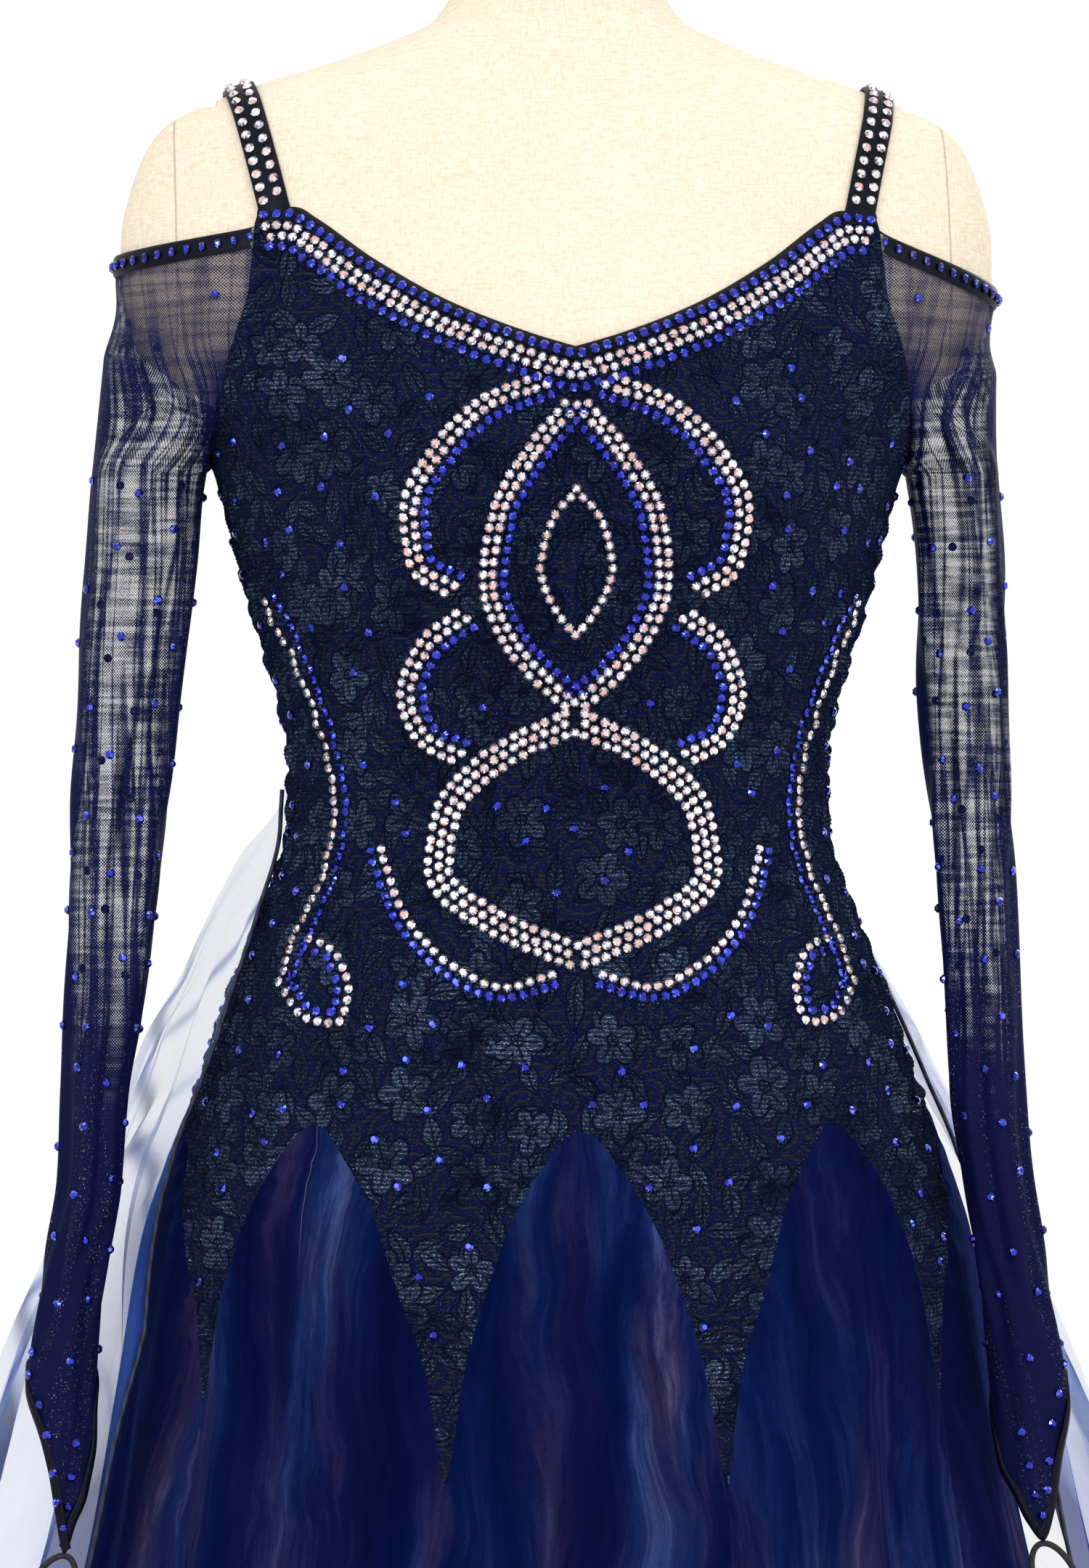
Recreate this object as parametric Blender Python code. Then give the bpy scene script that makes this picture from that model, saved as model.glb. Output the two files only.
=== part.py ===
"""A ballroom maxi dress of stretch lace, organza and mesh, on a limbless dress form with a stand.

Metres, +Z up. The front faces -Y, +X is on the viewer's right, and the origin is the centre of the
stand's underside. Angles go round the body from the centre front, in degrees, positive towards +X.
"""

import math

import bpy
import numpy as np

# Driving sizes of the garment
WALL = 0.0012
GAP = 0.0003
EDGE_STEP = GAP / 2
ARMPIT_HEIGHT = 1.2365
HIP_LINE = 0.932
NECK_BINDING_WIDTH = 0.006
STRAP_WIDTH = 0.0155
CUFF_BINDING_WIDTH = 0.0045
ELASTIC_THICKNESS = 0.003
# How far above the drawn tip of each cuff its loop hangs, where the pointed binding really ends
ELASTIC_SEAT = {"left": 0.0002, "right": 0.0}

# Driving sizes of the dress form and its stand
FORM_INSET = WALL + 0.0028
FORM_BOTTOM = 0.865
FORM_TOP = 1.520
CAP_PLANE = 0.1695
CAP_BOTTOM_INNER = 1.270
CAP_BOTTOM_OUTER = 1.298
CAP_TOP = 1.4115
POLE_RADIUS = 0.014
BASE_RADIUS = 0.190
BASE_THICKNESS = 0.018

# The body that the cloth's outer face follows, from the hem to the top of the neck
BODY_COLUMNS = ("height", "half_width", "front_depth", "back_depth")
BODY_SECTIONS = (
    (0.050, 0.4300, 0.405, 0.430),
    (0.400, 0.3180, 0.285, 0.305),
    (0.694, 0.2300, 0.190, 0.200),
    (0.789, 0.2145, 0.166, 0.174),
    (0.854, 0.2055, 0.149, 0.157),
    (0.895, 0.1935, 0.137, 0.146),
    (0.930, 0.1795, 0.128, 0.137),
    (0.973, 0.1650, 0.118, 0.126),
    (1.016, 0.1480, 0.108, 0.110),
    (1.060, 0.1343, 0.101, 0.093),
    (1.092, 0.1338, 0.099, 0.088),
    (1.124, 0.1395, 0.101, 0.090),
    (1.168, 0.1526, 0.106, 0.097),
    (1.211, 0.1640, 0.110, 0.104),
    (1.2365, 0.1715, 0.110, 0.107),
    (1.255, 0.1820, 0.109, 0.108),
    (1.274, 0.1970, 0.106, 0.109),
    (1.291, 0.2090, 0.103, 0.109),
    (1.310, 0.2160, 0.098, 0.108),
    (1.330, 0.2190, 0.092, 0.106),
    (1.352, 0.2185, 0.084, 0.102),
    (1.372, 0.2143, 0.077, 0.097),
    (1.394, 0.2057, 0.070, 0.090),
    (1.405, 0.1970, 0.066, 0.086),
    (1.416, 0.1765, 0.062, 0.082),
    (1.427, 0.1480, 0.059, 0.078),
    (1.4375, 0.1135, 0.056, 0.074),
    (1.448, 0.0855, 0.054, 0.070),
    (1.459, 0.0640, 0.052, 0.066),
    (1.475, 0.0550, 0.051, 0.061),
    (1.520, 0.0530, 0.052, 0.057),
)
BUST = {"x": 0.078, "height": 1.232, "rise": 0.017, "spread_x": 0.048, "spread_z": 0.050}

# The zigzag edge where the lace ends and the godets are let in, on one half of the body
# Columns: angle and height
ZIGZAG = (
    (0.0, 0.916),
    (17.7, 0.745),
    (43.0, 0.918),
    (56.5, 0.783),
    (90.0, 0.924),
    (122.0, 0.783),
    (137.0, 0.918),
    (162.3, 0.745),
    (180.0, 0.916),
)
# The side of a godet's pointed arch, from its top to the lace point beside it
ARCH_COLUMNS = ("width_share", "drop_share")
ARCH = (
    (0.00, 0.000),
    (0.06, 0.004),
    (0.32, 0.105),
    (0.53, 0.238),
    (0.71, 0.429),
    (0.88, 0.657),
    (1.00, 1.000),
)
ARCH_STEPS = (0.06, 0.36, 0.62, 0.86, 1.0)

# Skirt rows below the lace points, and the depth of the folds there
SKIRT_COLUMNS = ("height", "fold_depth")
SKIRT_ROWS = (
    (0.930, 0.0000),
    (0.860, 0.0020),
    (0.780, 0.0050),
    (0.694, 0.0085),
    (0.540, 0.0137),
    (0.380, 0.0188),
    (0.200, 0.0248),
    (0.050, 0.0300),
)
GODET_COLUMNS = 13
# Where each godet's three folds crest, across its width, and how high each crest stands
# Columns: the crest's place as a share of the godet, and its height as a share of a full fold
FOLDS = ((0.19, 0.85), (0.50, 1.00), (0.82, 0.80))

# The armhole seam, from the top corner of the bodice down to the armpit
ARMHOLE_COLUMNS = ("height", "front_angle")
ARMHOLE = (
    (1.3600, 43.5),
    (1.3500, 44.3),
    (1.3405, 44.5),
    (1.3220, 45.3),
    (1.3000, 49.3),
    (1.2780, 56.6),
    (1.2560, 68.4),
    (1.2450, 78.5),
    (1.2365, 90.0),
)
BODICE_ROWS = (1.212, 1.182, 1.135, 1.085, 1.036, 0.984, HIP_LINE)
LOWER_SHARES = (0.45, 1.0)

NECKLINE_COLUMNS = ("x", "height")
FRONT_NECKLINE = (
    (0.000, 1.2905),
    (0.020, 1.2965),
    (0.059, 1.3120),
    (0.096, 1.3335),
    (0.124, 1.3545),
    (0.1335, 1.3600),
    (0.160, 1.3600),
)
BACK_NECKLINE = (
    (0.000, 1.3000),
    (0.050, 1.3080),
    (0.096, 1.3300),
    (0.124, 1.3530),
    (0.1335, 1.3600),
    (0.160, 1.3600),
)

# Sleeves hang from the shoulder to the wrist, each with its own line
SLEEVE_COLUMNS = ("height", "centre_x", "centre_y", "half_width", "half_depth")
SLEEVES = {
    "left": (
        (1.3405, -0.1560, 0.000, 0.0640, 0.064),
        (1.2365, -0.2018, 0.000, 0.0286, 0.042),
        (1.190, -0.2057, -0.010, 0.0279, 0.039),
        (1.146, -0.2104, -0.020, 0.0270, 0.036),
        (1.081, -0.2155, -0.033, 0.0243, 0.031),
        (1.038, -0.2190, -0.041, 0.0230, 0.028),
        (0.974, -0.2240, -0.051, 0.0196, 0.024),
        (0.932, -0.2286, -0.058, 0.0164, 0.022),
        (0.890, -0.2310, -0.065, 0.0157, 0.020),
        (0.849, -0.2385, -0.070, 0.0155, 0.019),
        (0.790, -0.2455, -0.075, 0.0170, 0.018),
        (0.700, -0.2440, -0.078, 0.0165, 0.018),
    ),
    "right": (
        (1.3405, 0.1560, 0.000, 0.0640, 0.064),
        (1.2365, 0.1964, 0.000, 0.0230, 0.040),
        (1.190, 0.1990, -0.010, 0.0220, 0.037),
        (1.146, 0.1985, -0.020, 0.0221, 0.034),
        (1.081, 0.2000, -0.033, 0.0207, 0.030),
        (1.038, 0.2017, -0.041, 0.0196, 0.028),
        (0.974, 0.2040, -0.051, 0.0187, 0.024),
        (0.932, 0.2050, -0.058, 0.0186, 0.022),
        (0.890, 0.2095, -0.065, 0.0172, 0.020),
        (0.849, 0.2150, -0.070, 0.0171, 0.019),
        (0.785, 0.2240, -0.075, 0.0190, 0.018),
        (0.700, 0.2280, -0.078, 0.0185, 0.018),
    ),
}
# How far the sleeve's top edge falls from the bodice to the outside of the arm
SLEEVE_TOP_DROP = {"left": 0.010, "right": 0.024}
SLEEVE_ROWS = (1.190, 1.138, 1.081, 1.028, 0.974, 0.932, 0.890, 0.849)
# The cuff's point, from the back of the wrist to its tip: angle round the sleeve and height
CUFF_COLUMNS = ("angle", "height")
CUFFS = {
    "left": (
        (-180.0, 0.8020), (-120.0, 0.8000), (-90.0, 0.7900), (-67.5, 0.7650), (-45.0, 0.7420),
        (-22.5, 0.7280), (0.0, 0.7140), (22.5, 0.7520), (45.0, 0.7720), (67.5, 0.7870),
        (90.0, 0.7970), (120.0, 0.8010), (180.0, 0.8020),
    ),
    "right": (
        (-180.0, 0.7960), (-120.0, 0.7900), (-90.0, 0.7660), (-67.5, 0.7490), (-45.0, 0.7370),
        (-22.5, 0.7240), (0.0, 0.7155), (22.5, 0.7320), (45.0, 0.7600), (67.5, 0.7800),
        (90.0, 0.7910), (120.0, 0.7950), (180.0, 0.7960),
    ),
}

# The overskirt floats: sheer panels from the back waist, spread out beside the skirt
FLOAT_TOP = 1.078
FLOAT_CENTRE_BACK = 177.0
# Columns: height, angle of the front edge, spread as a share of the body, and lift off the skirt
FLOATS = {
    "left": (
        (1.078, 92.0, 0.000, 0.0017),
        (1.043, 84.0, 0.204, 0.0029),
        (1.012, 79.0, 0.194, 0.0032),
        (0.984, 75.0, 0.173, 0.0036),
        (0.953, 72.0, 0.195, 0.0042),
        (0.905, 72.7, 0.186, 0.0060),
        (0.854, 68.4, 0.176, 0.0080),
        (0.798, 65.0, 0.217, 0.0105),
        (0.690, 67.2, 0.244, 0.0155),
        (0.500, 78.0, 0.340, 0.0250),
        (0.300, 86.0, 0.290, 0.0340),
        (0.120, 90.0, 0.220, 0.0400),
    ),
    "right": (
        (1.078, 103.0, 0.000, 0.0017),
        (1.043, 102.0, 0.100, 0.0029),
        (1.012, 101.0, 0.165, 0.0032),
        (0.984, 100.0, 0.215, 0.0036),
        (0.953, 98.0, 0.240, 0.0042),
        (0.905, 94.0, 0.229, 0.0060),
        (0.854, 90.0, 0.217, 0.0080),
        (0.798, 87.0, 0.280, 0.0105),
        (0.690, 85.0, 0.353, 0.0155),
        (0.500, 86.0, 0.350, 0.0250),
        (0.300, 88.0, 0.290, 0.0340),
        (0.120, 90.0, 0.220, 0.0400),
    ),
}
FLOAT_SECTIONS = 21
FLOAT_FOLDS = 5
FLOAT_WALL = 0.0012

# Colours as linear values, with roughness and metallic share
FINISHES = {
    "lace": ((0.010, 0.016, 0.040), 0.55, 0.1),
    "organza": ((0.010, 0.016, 0.090), 0.35, 0.0),
    "sheer": ((0.180, 0.260, 0.520), 0.40, 0.0),
    "mesh": ((0.012, 0.013, 0.040), 0.70, 0.0),
    "satin": ((0.006, 0.008, 0.020), 0.45, 0.0),
    "elastic": ((0.004, 0.004, 0.005), 0.70, 0.0),
    "linen": ((0.740, 0.640, 0.530), 0.90, 0.0),
    "painted_steel": ((0.012, 0.012, 0.013), 0.40, 0.0),
}


def column(rows, names, name):
    """One named column of a table."""
    return np.array([row[names.index(name)] for row in rows], float)


def smooth_curve(places, values):
    """A curve through the points that stays smooth and never swings past them."""
    order = np.argsort(places)
    x = np.asarray(places, float)[order]
    y = np.asarray(values, float)[order]
    step = np.diff(x)
    slope = np.diff(y) / step
    tangent = np.zeros(len(x))
    tangent[0] = slope[0]
    tangent[-1] = slope[-1]
    same_way = slope[:-1] * slope[1:] > 0
    before, after = slope[:-1][same_way], slope[1:][same_way]
    tangent[1:-1][same_way] = 2 * before * after / (before + after)

    def at(place):
        place = np.clip(np.asarray(place, float), x[0], x[-1])
        cell = np.clip(np.searchsorted(x, place, side="right") - 1, 0, len(x) - 2)
        width = step[cell]
        t = (place - x[cell]) / width
        rise = (2 * t**3 - 3 * t**2 + 1) * y[cell] + (-2 * t**3 + 3 * t**2) * y[cell + 1]
        lean = (t**3 - 2 * t**2 + t) * tangent[cell] + (t**3 - t**2) * tangent[cell + 1]
        return rise + lean * width

    return at


def table_curve(rows, names, place, value):
    """A smooth curve of one table column over another."""
    return smooth_curve(column(rows, names, place), column(rows, names, value))


def ease(share):
    """A step from 0 to 1 with soft ends."""
    share = np.clip(share, 0.0, 1.0)
    return share * share * (3 - 2 * share)


body_half_width = table_curve(BODY_SECTIONS, BODY_COLUMNS, "height", "half_width")
body_front_depth = table_curve(BODY_SECTIONS, BODY_COLUMNS, "height", "front_depth")
body_back_depth = table_curve(BODY_SECTIONS, BODY_COLUMNS, "height", "back_depth")
fold_depth = table_curve(SKIRT_ROWS, SKIRT_COLUMNS, "height", "fold_depth")
arch_drop = table_curve(ARCH, ARCH_COLUMNS, "width_share", "drop_share")
armhole_angle = table_curve(ARMHOLE, ARMHOLE_COLUMNS, "height", "front_angle")

LACE_POINTS = [row for row in ZIGZAG if row[1] < 0.85]
SEAM_ANGLES = sorted([angle for angle, _ in LACE_POINTS] + [-angle for angle, _ in LACE_POINTS])


def fold_wave(angle):
    """The height of the skirt's folds round the body, 0 in the valleys and 1 on a full crest."""
    angle = (np.asarray(angle, float) + 180.0) % 360.0 - 180.0
    seams = np.array([SEAM_ANGLES[-1] - 360.0] + SEAM_ANGLES + [SEAM_ANGLES[0] + 360.0])
    cell = np.clip(np.searchsorted(seams, angle, side="right") - 1, 0, len(seams) - 2)
    share = (angle - seams[cell]) / (seams[cell + 1] - seams[cell])
    valleys = (0.0, 0.345, 0.66, 1.0)
    wave = np.zeros_like(share)
    for fold, (crest, height) in enumerate(FOLDS):
        before = np.clip((share - valleys[fold]) / (crest - valleys[fold]), 0, 1)
        after = np.clip((valleys[fold + 1] - share) / (valleys[fold + 1] - crest), 0, 1)
        inside = (share >= valleys[fold]) & (share <= valleys[fold + 1])
        wave += np.where(inside, height * ease(np.minimum(before, after)), 0.0)
    return wave


def body_point(angle, height, out=0.0):
    """A point of the cloth's outer face, moved out from the body's middle by a distance."""
    angle, height = np.broadcast_arrays(np.asarray(angle, float), np.asarray(height, float))
    turn = np.radians(angle)
    facing_back = np.cos(turn) < 0
    depth = np.where(facing_back, body_back_depth(height), body_front_depth(height))
    x = body_half_width(height) * np.sin(turn)
    y = -depth * np.cos(turn)
    mound_x = (np.abs(x) - BUST["x"]) / BUST["spread_x"]
    mound_z = (height - BUST["height"]) / BUST["spread_z"]
    mound = BUST["rise"] * np.exp(-(mound_x**2) - mound_z**2)
    y = y - np.where(facing_back, 0.0, mound * np.clip(np.cos(turn) * 3, 0, 1))
    reach = np.hypot(x, y)
    grow = 1 + (fold_depth(height) * (fold_wave(angle) - 0.35) + out) / np.maximum(reach, 1e-6)
    return np.stack([x * grow, y * grow, height], axis=-1)


def body_normal(angle, height, out=0.0):
    """The direction that the cloth faces at a point of the body."""
    step_angle, step_height = 0.4, 0.002
    across = body_point(angle + step_angle, height, out) - body_point(angle - step_angle, height, out)
    up = body_point(angle, height + step_height, out) - body_point(angle, height - step_height, out)
    normal = np.cross(across, up)
    return normal / np.linalg.norm(normal, axis=-1, keepdims=True)


def lerp(first, last, share):
    """The value a share of the way from the first to the last."""
    return first + (last - first) * share


def finish(name):
    """A plain material with a part's colour, roughness and metallic share."""
    if name in bpy.data.materials:
        return bpy.data.materials[name]
    material = bpy.data.materials.new(name)
    colour, roughness, metallic = FINISHES[name]
    material.use_nodes = True
    shader = material.node_tree.nodes["Principled BSDF"]
    shader.inputs["Base Color"].default_value = (*colour, 1.0)
    shader.inputs["Roughness"].default_value = roughness
    shader.inputs["Metallic"].default_value = metallic
    return material


def add_mesh(name, points, faces, material):
    """A mesh object from its points and faces, shaded smooth."""
    mesh = bpy.data.meshes.new(name)
    mesh.from_pydata([tuple(point) for point in points], [], faces)
    mesh.validate()
    mesh.materials.append(finish(material))
    mesh.shade_smooth()
    mesh.set_sharp_from_angle(angle=math.radians(50))
    piece = bpy.data.objects.new(name, mesh)
    bpy.context.scene.collection.objects.link(piece)
    return piece


def grid_faces(rows, columns, joined=None):
    """The faces of a grid of points. Rows named in joined close round into a tube."""
    joined = joined or ()
    index = np.arange(rows * columns).reshape(rows, columns)
    for row in joined:
        index[row, -1] = index[row, 0]
    faces = []
    for row in range(rows - 1):
        for place in range(columns - 1):
            corners = (
                index[row, place],
                index[row, place + 1],
                index[row + 1, place + 1],
                index[row + 1, place],
            )
            kept = []
            for corner in corners:
                if corner not in kept:
                    kept.append(corner)
            faces.append([int(corner) for corner in kept])
    return faces


def vertex_normals(points, faces):
    """The mean direction of the faces round each point."""
    normals = np.zeros_like(points)
    for face in faces:
        corners = points[face]
        centre = corners.mean(axis=0)
        area = np.zeros(3)
        for first, last in zip(corners, np.roll(corners, -1, axis=0)):
            area += np.cross(first - centre, last - centre)
        normals[face] += area
    length = np.linalg.norm(normals, axis=1, keepdims=True)
    return normals / np.maximum(length, 1e-12)


def edge_loops(faces):
    """The next point along the cloth's edge, for each point on an edge."""
    half_edges = set()
    for face in faces:
        for first, last in zip(face, face[1:] + face[:1]):
            half_edges.add((first, last))
    return {first: last for first, last in half_edges if (last, first) not in half_edges}


def step_back(points, normals, following, distance):
    """The points with every edge moved back into the cloth, mitred at its corners."""
    moved = points.copy()
    previous = {last: first for first, last in following.items()}
    for point, after in following.items():
        before = previous[point]
        inward = []
        for start, end in ((before, point), (point, after)):
            along = points[end] - points[start]
            side = np.cross(normals[point], along / np.linalg.norm(along))
            inward.append(side / np.linalg.norm(side))
        share = max(1 + float(np.dot(inward[0], inward[1])), 0.02)
        moved[point] = points[point] + (inward[0] + inward[1]) / share * distance
    return moved


def split_face(face, points):
    """The triangles of a face, split along its shorter diagonal, so that both sides of a wall match."""
    if len(face) < 4:
        return [face]
    first, second, third, fourth = face
    level = np.linalg.norm(points[first] - points[third])
    upright = np.linalg.norm(points[second] - points[fourth])
    if level < upright:
        return [[first, second, third], [first, third, fourth]]
    return [[first, second, fourth], [second, third, fourth]]


def add_cloth(name, points, faces, material, wall=WALL, normals=None, step=EDGE_STEP):
    """A wall of cloth whose outer face has these points, with its edges stepped back for the seams."""
    points = np.asarray(points, float).reshape(-1, 3)
    computed = vertex_normals(points, faces)
    if normals is None:
        normals = computed
    else:
        normals = np.asarray(normals, float).reshape(-1, 3)
        used = sorted({corner for face in faces for corner in face})
        if np.sum(computed[used] * normals[used]) < 0:
            faces = [face[::-1] for face in faces]
    following = edge_loops(faces)
    points = step_back(points, normals, following, step)
    inner = points - normals * wall
    count = len(points)
    halves = [half for face in faces for half in split_face(face, points)]
    shell = list(halves)
    shell += [[corner + count for corner in reversed(half)] for half in halves]
    shell += [[last, first, first + count, last + count] for first, last in following.items()]
    everything = np.vstack([points, inner])
    used = sorted({corner for face in shell for corner in face})
    place = {corner: number for number, corner in enumerate(used)}
    shell = [[place[corner] for corner in face] for face in shell]
    return add_mesh(name, everything[used], shell, material)


def add_body_panel(name, angles, heights, material, out=0.0, wall=WALL, step=EDGE_STEP):
    """A panel of cloth on the body, from a grid of angles and heights."""
    points = body_point(angles, heights, out)
    normals = body_normal(angles, heights, out)
    return add_cloth(name, points, grid_faces(*angles.shape), material, wall, normals, step)


def add_rings(name, rings, material):
    """A closed solid through rings of points, with flat ends."""
    rings = np.asarray(rings, float)
    rows, columns = rings.shape[:2]
    faces = []
    for row in range(rows - 1):
        for place in range(columns):
            beside = (place + 1) % columns
            low, high = row * columns, (row + 1) * columns
            faces.append([low + place, low + beside, high + beside, high + place])
    faces.append(list(range(columns))[::-1])
    faces.append([(rows - 1) * columns + place for place in range(columns)])
    return add_mesh(name, rings.reshape(-1, 3), faces, material)


def lace_angles(first, last):
    """The angles of the lace columns between two tops of the zigzag, and the edge's height at each."""
    angles, heights = [], []
    rows = [row for row in full_zigzag() if first - 1e-6 <= row[0] <= last + 1e-6]
    for (start, start_height), (end, end_height) in zip(rows, rows[1:]):
        down = end_height < start_height
        top, top_height = (start, start_height) if down else (end, end_height)
        point, point_height = (end, end_height) if down else (start, start_height)
        steps = ARCH_STEPS if down else ARCH_STEPS[::-1]
        for share in steps:
            angle = lerp(top, point, share)
            if angles and abs(angles[-1] - angle) < 1e-6:
                continue
            angles.append(angle)
            heights.append(lerp(top_height, point_height, float(arch_drop(share))))
    angles = [first] + angles + [last]
    heights = [heights[0]] + heights + [heights[-1]]
    return np.array(angles), np.array(heights)


def full_zigzag():
    """The zigzag all round, from the left of the centre back to the right of it and on to the front."""
    left = [(-angle, height) for angle, height in ZIGZAG[:0:-1]]
    right = list(ZIGZAG)
    again = [(360 - angle, height) for angle, height in ZIGZAG[-2::-1]]
    return left + right + again


def neck_height(angle_share, neckline):
    """The neckline's height along a column of the bodice, from its share of the armhole's angle."""
    level = table_curve(neckline, NECKLINE_COLUMNS, "x", "height")
    height = np.full_like(angle_share, 1.33)
    for _ in range(12):
        turn = np.radians(angle_share * ARMHOLE[0][1])
        across = body_half_width(height) * np.abs(np.sin(turn))
        height = lerp(height, level(across), 0.7)
    return height


def bodice_grid(neckline, facing_back):
    """The angles and heights of a bodice panel, rows from the neckline to the zigzag edge."""
    first, last = (90.0, 270.0) if facing_back else (-90.0, 90.0)
    columns, edge = lace_angles(first, last)
    middle = 180.0 if facing_back else 0.0
    share = (columns - middle) / 90.0
    neck = neck_height(share, neckline)
    corner, armpit = ARMHOLE[0][0], ARMHOLE[-1][0]
    angles, heights = [], []
    for height, edge_angle in ARMHOLE:
        down = (corner - height) / (corner - armpit)
        angles.append(middle + share * edge_angle)
        heights.append(lerp(neck, armpit, down))
    for height in BODICE_ROWS:
        angles.append(columns)
        heights.append(np.full_like(columns, height))
    for down in LOWER_SHARES:
        angles.append(columns)
        heights.append(lerp(HIP_LINE, edge, down))
    return np.array(angles), np.array(heights)


def neck_strip_rows(angles, heights, width):
    """The first row of a bodice grid, and the row that lies the binding's width below it."""
    top = body_point(angles[0], heights[0])
    normals = body_normal(angles[0], heights[0])
    along = np.gradient(top, axis=0)
    along /= np.linalg.norm(along, axis=1, keepdims=True)
    inward = np.cross(normals, along)
    inward *= np.sign(-inward[:, 2:3])
    down = width / np.maximum(-inward[:, 2], 0.5)
    return heights[0] - down


def add_bodice():
    """Both bodice panels and the bindings on their neck edges."""
    panels = (("front", FRONT_NECKLINE, False), ("back", BACK_NECKLINE, True))
    for side, neckline, facing_back in panels:
        angles, heights = bodice_grid(neckline, facing_back)
        below = neck_strip_rows(angles, heights, NECK_BINDING_WIDTH)
        strip_angles = np.array([angles[0], angles[0]])
        strip_heights = np.array([heights[0], below])
        add_body_panel(
            f"neck_binding_{side}", strip_angles, strip_heights, "satin", out=0.0003, wall=0.0016
        )
        second = np.minimum(heights[1], below - 0.002)
        heights[0] = below
        heights[1] = second
        add_body_panel(f"bodice_{side}", angles, heights, "lace")


def godet_grid(top, left, right):
    """A godet's angles and heights: its arch between two lace points, and on down to the hem."""
    across = np.linspace(0, 1, GODET_COLUMNS)
    rows = []
    for share in ARCH_STEPS:
        drop = float(arch_drop(share))
        left_place = (lerp(top[0], left[0], share), lerp(top[1], left[1], drop))
        right_place = (lerp(top[0], right[0], share), lerp(top[1], right[1], drop))
        rows.append((left_place, right_place))
    for height in column(SKIRT_ROWS, SKIRT_COLUMNS, "height"):
        if height < 0.70:
            rows.append(((left[0], height), (right[0], height)))
    angles = np.array([lerp(a[0], b[0], across) for a, b in rows])
    heights = np.array([lerp(a[1], b[1], across) for a, b in rows])
    return angles, heights


def add_godets():
    """Eight godets, numbered from the centre front towards +X and on round."""
    rows = full_zigzag()
    tops = [row for row in rows if row[1] > 0.85 and -1e-6 <= row[0] < 360 - 1e-6]
    points = [row for row in rows if row[1] < 0.85]
    for number, top in enumerate(tops, start=1):
        left = max((row for row in points if row[0] < top[0]), key=lambda row: row[0])
        right = min((row for row in points if row[0] > top[0]), key=lambda row: row[0])
        angles, heights = godet_grid(top, left, right)
        add_body_panel(f"godet_{number}", angles, heights, "organza", wall=WALL)


def surface_depth(x, height, facing_back):
    """How far a point of the form's shoulder lies from the middle plane, at an x and a height."""
    half_width = body_half_width(height) - FORM_INSET
    depth = np.where(facing_back, body_back_depth(height), body_front_depth(height)) - FORM_INSET
    inside = np.clip(1 - (x / half_width) ** 2, 0, 1)
    return np.where(facing_back, 1.0, -1.0) * depth * np.sqrt(inside)


def add_straps():
    """A flat strap over each shoulder, from the front corner of the bodice to the back corner."""
    start, top_x, low_x = 1.3632, 0.1580, 0.1425
    steps = 13
    for side, sign in (("left", -1), ("right", 1)):
        middle = []
        for place in np.linspace(-1, 1, steps):
            lift = math.sqrt(max(1 - abs(place) ** 2.2, 0.0))
            x = lerp(low_x, top_x, lift)
            peak = shoulder_height(x)
            height = lerp(start, peak, lift)
            depth = float(surface_depth(x, height, place > 0)) if lift < 0.999 else 0.0
            middle.append((sign * x, depth, height))
        middle = np.array(middle)
        along = np.gradient(middle, axis=0)
        along /= np.linalg.norm(along, axis=1, keepdims=True)
        outward = np.array([shoulder_normal(point) for point in middle])
        across = np.cross(along, outward)
        across /= np.linalg.norm(across, axis=1, keepdims=True)
        outward = np.cross(across, along)
        lifted = middle + outward * (WALL + GAP + 0.0017)
        shares = np.linspace(-0.5, 0.5, 4)
        points = np.array([lifted + across * STRAP_WIDTH * share for share in shares])
        dip = 0.0006 * (1 - np.cos(shares * math.pi))
        points -= outward[None] * dip[:, None, None]
        normals = np.broadcast_to(outward, points.shape)
        add_cloth(f"strap_{side}", points, grid_faces(*points.shape[:2]), "satin", WALL, normals)


def shoulder_height(x):
    """The height of the form's shoulder line at a distance from the middle."""
    heights = np.linspace(1.36, 1.46, 400)
    widths = body_half_width(heights) - FORM_INSET
    return float(heights[np.nonzero(widths >= x)[0][-1]])


def shoulder_normal(point):
    """The direction that the form's shoulder faces."""

    def level(place):
        half_width = float(body_half_width(place[2])) - FORM_INSET
        curve = body_back_depth if place[1] > 0 else body_front_depth
        depth = float(curve(place[2])) - FORM_INSET
        return (place[0] / half_width) ** 2 + (place[1] / depth) ** 2

    steps = np.eye(3) * 0.002
    slope = np.array([level(point + step) - level(point - step) for step in steps])
    return slope / np.linalg.norm(slope)


def sleeve_curves(side):
    """Smooth curves of a sleeve's centre and half sizes over its height."""
    rows = SLEEVES[side]
    return {name: table_curve(rows, SLEEVE_COLUMNS, "height", name) for name in SLEEVE_COLUMNS[1:]}


def sleeve_ring(side, curves, turn, height):
    """Points of the hanging sleeve. A turn of 0 faces the front, 90 the outside, 180 the back."""
    sign = -1 if side == "left" else 1
    angle = np.radians(turn)
    x = curves["centre_x"](height) + sign * curves["half_width"](height) * np.sin(angle)
    y = curves["centre_y"](height) - curves["half_depth"](height) * np.cos(angle)
    return np.stack([x, y, np.broadcast_to(height, x.shape)], axis=-1)


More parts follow.
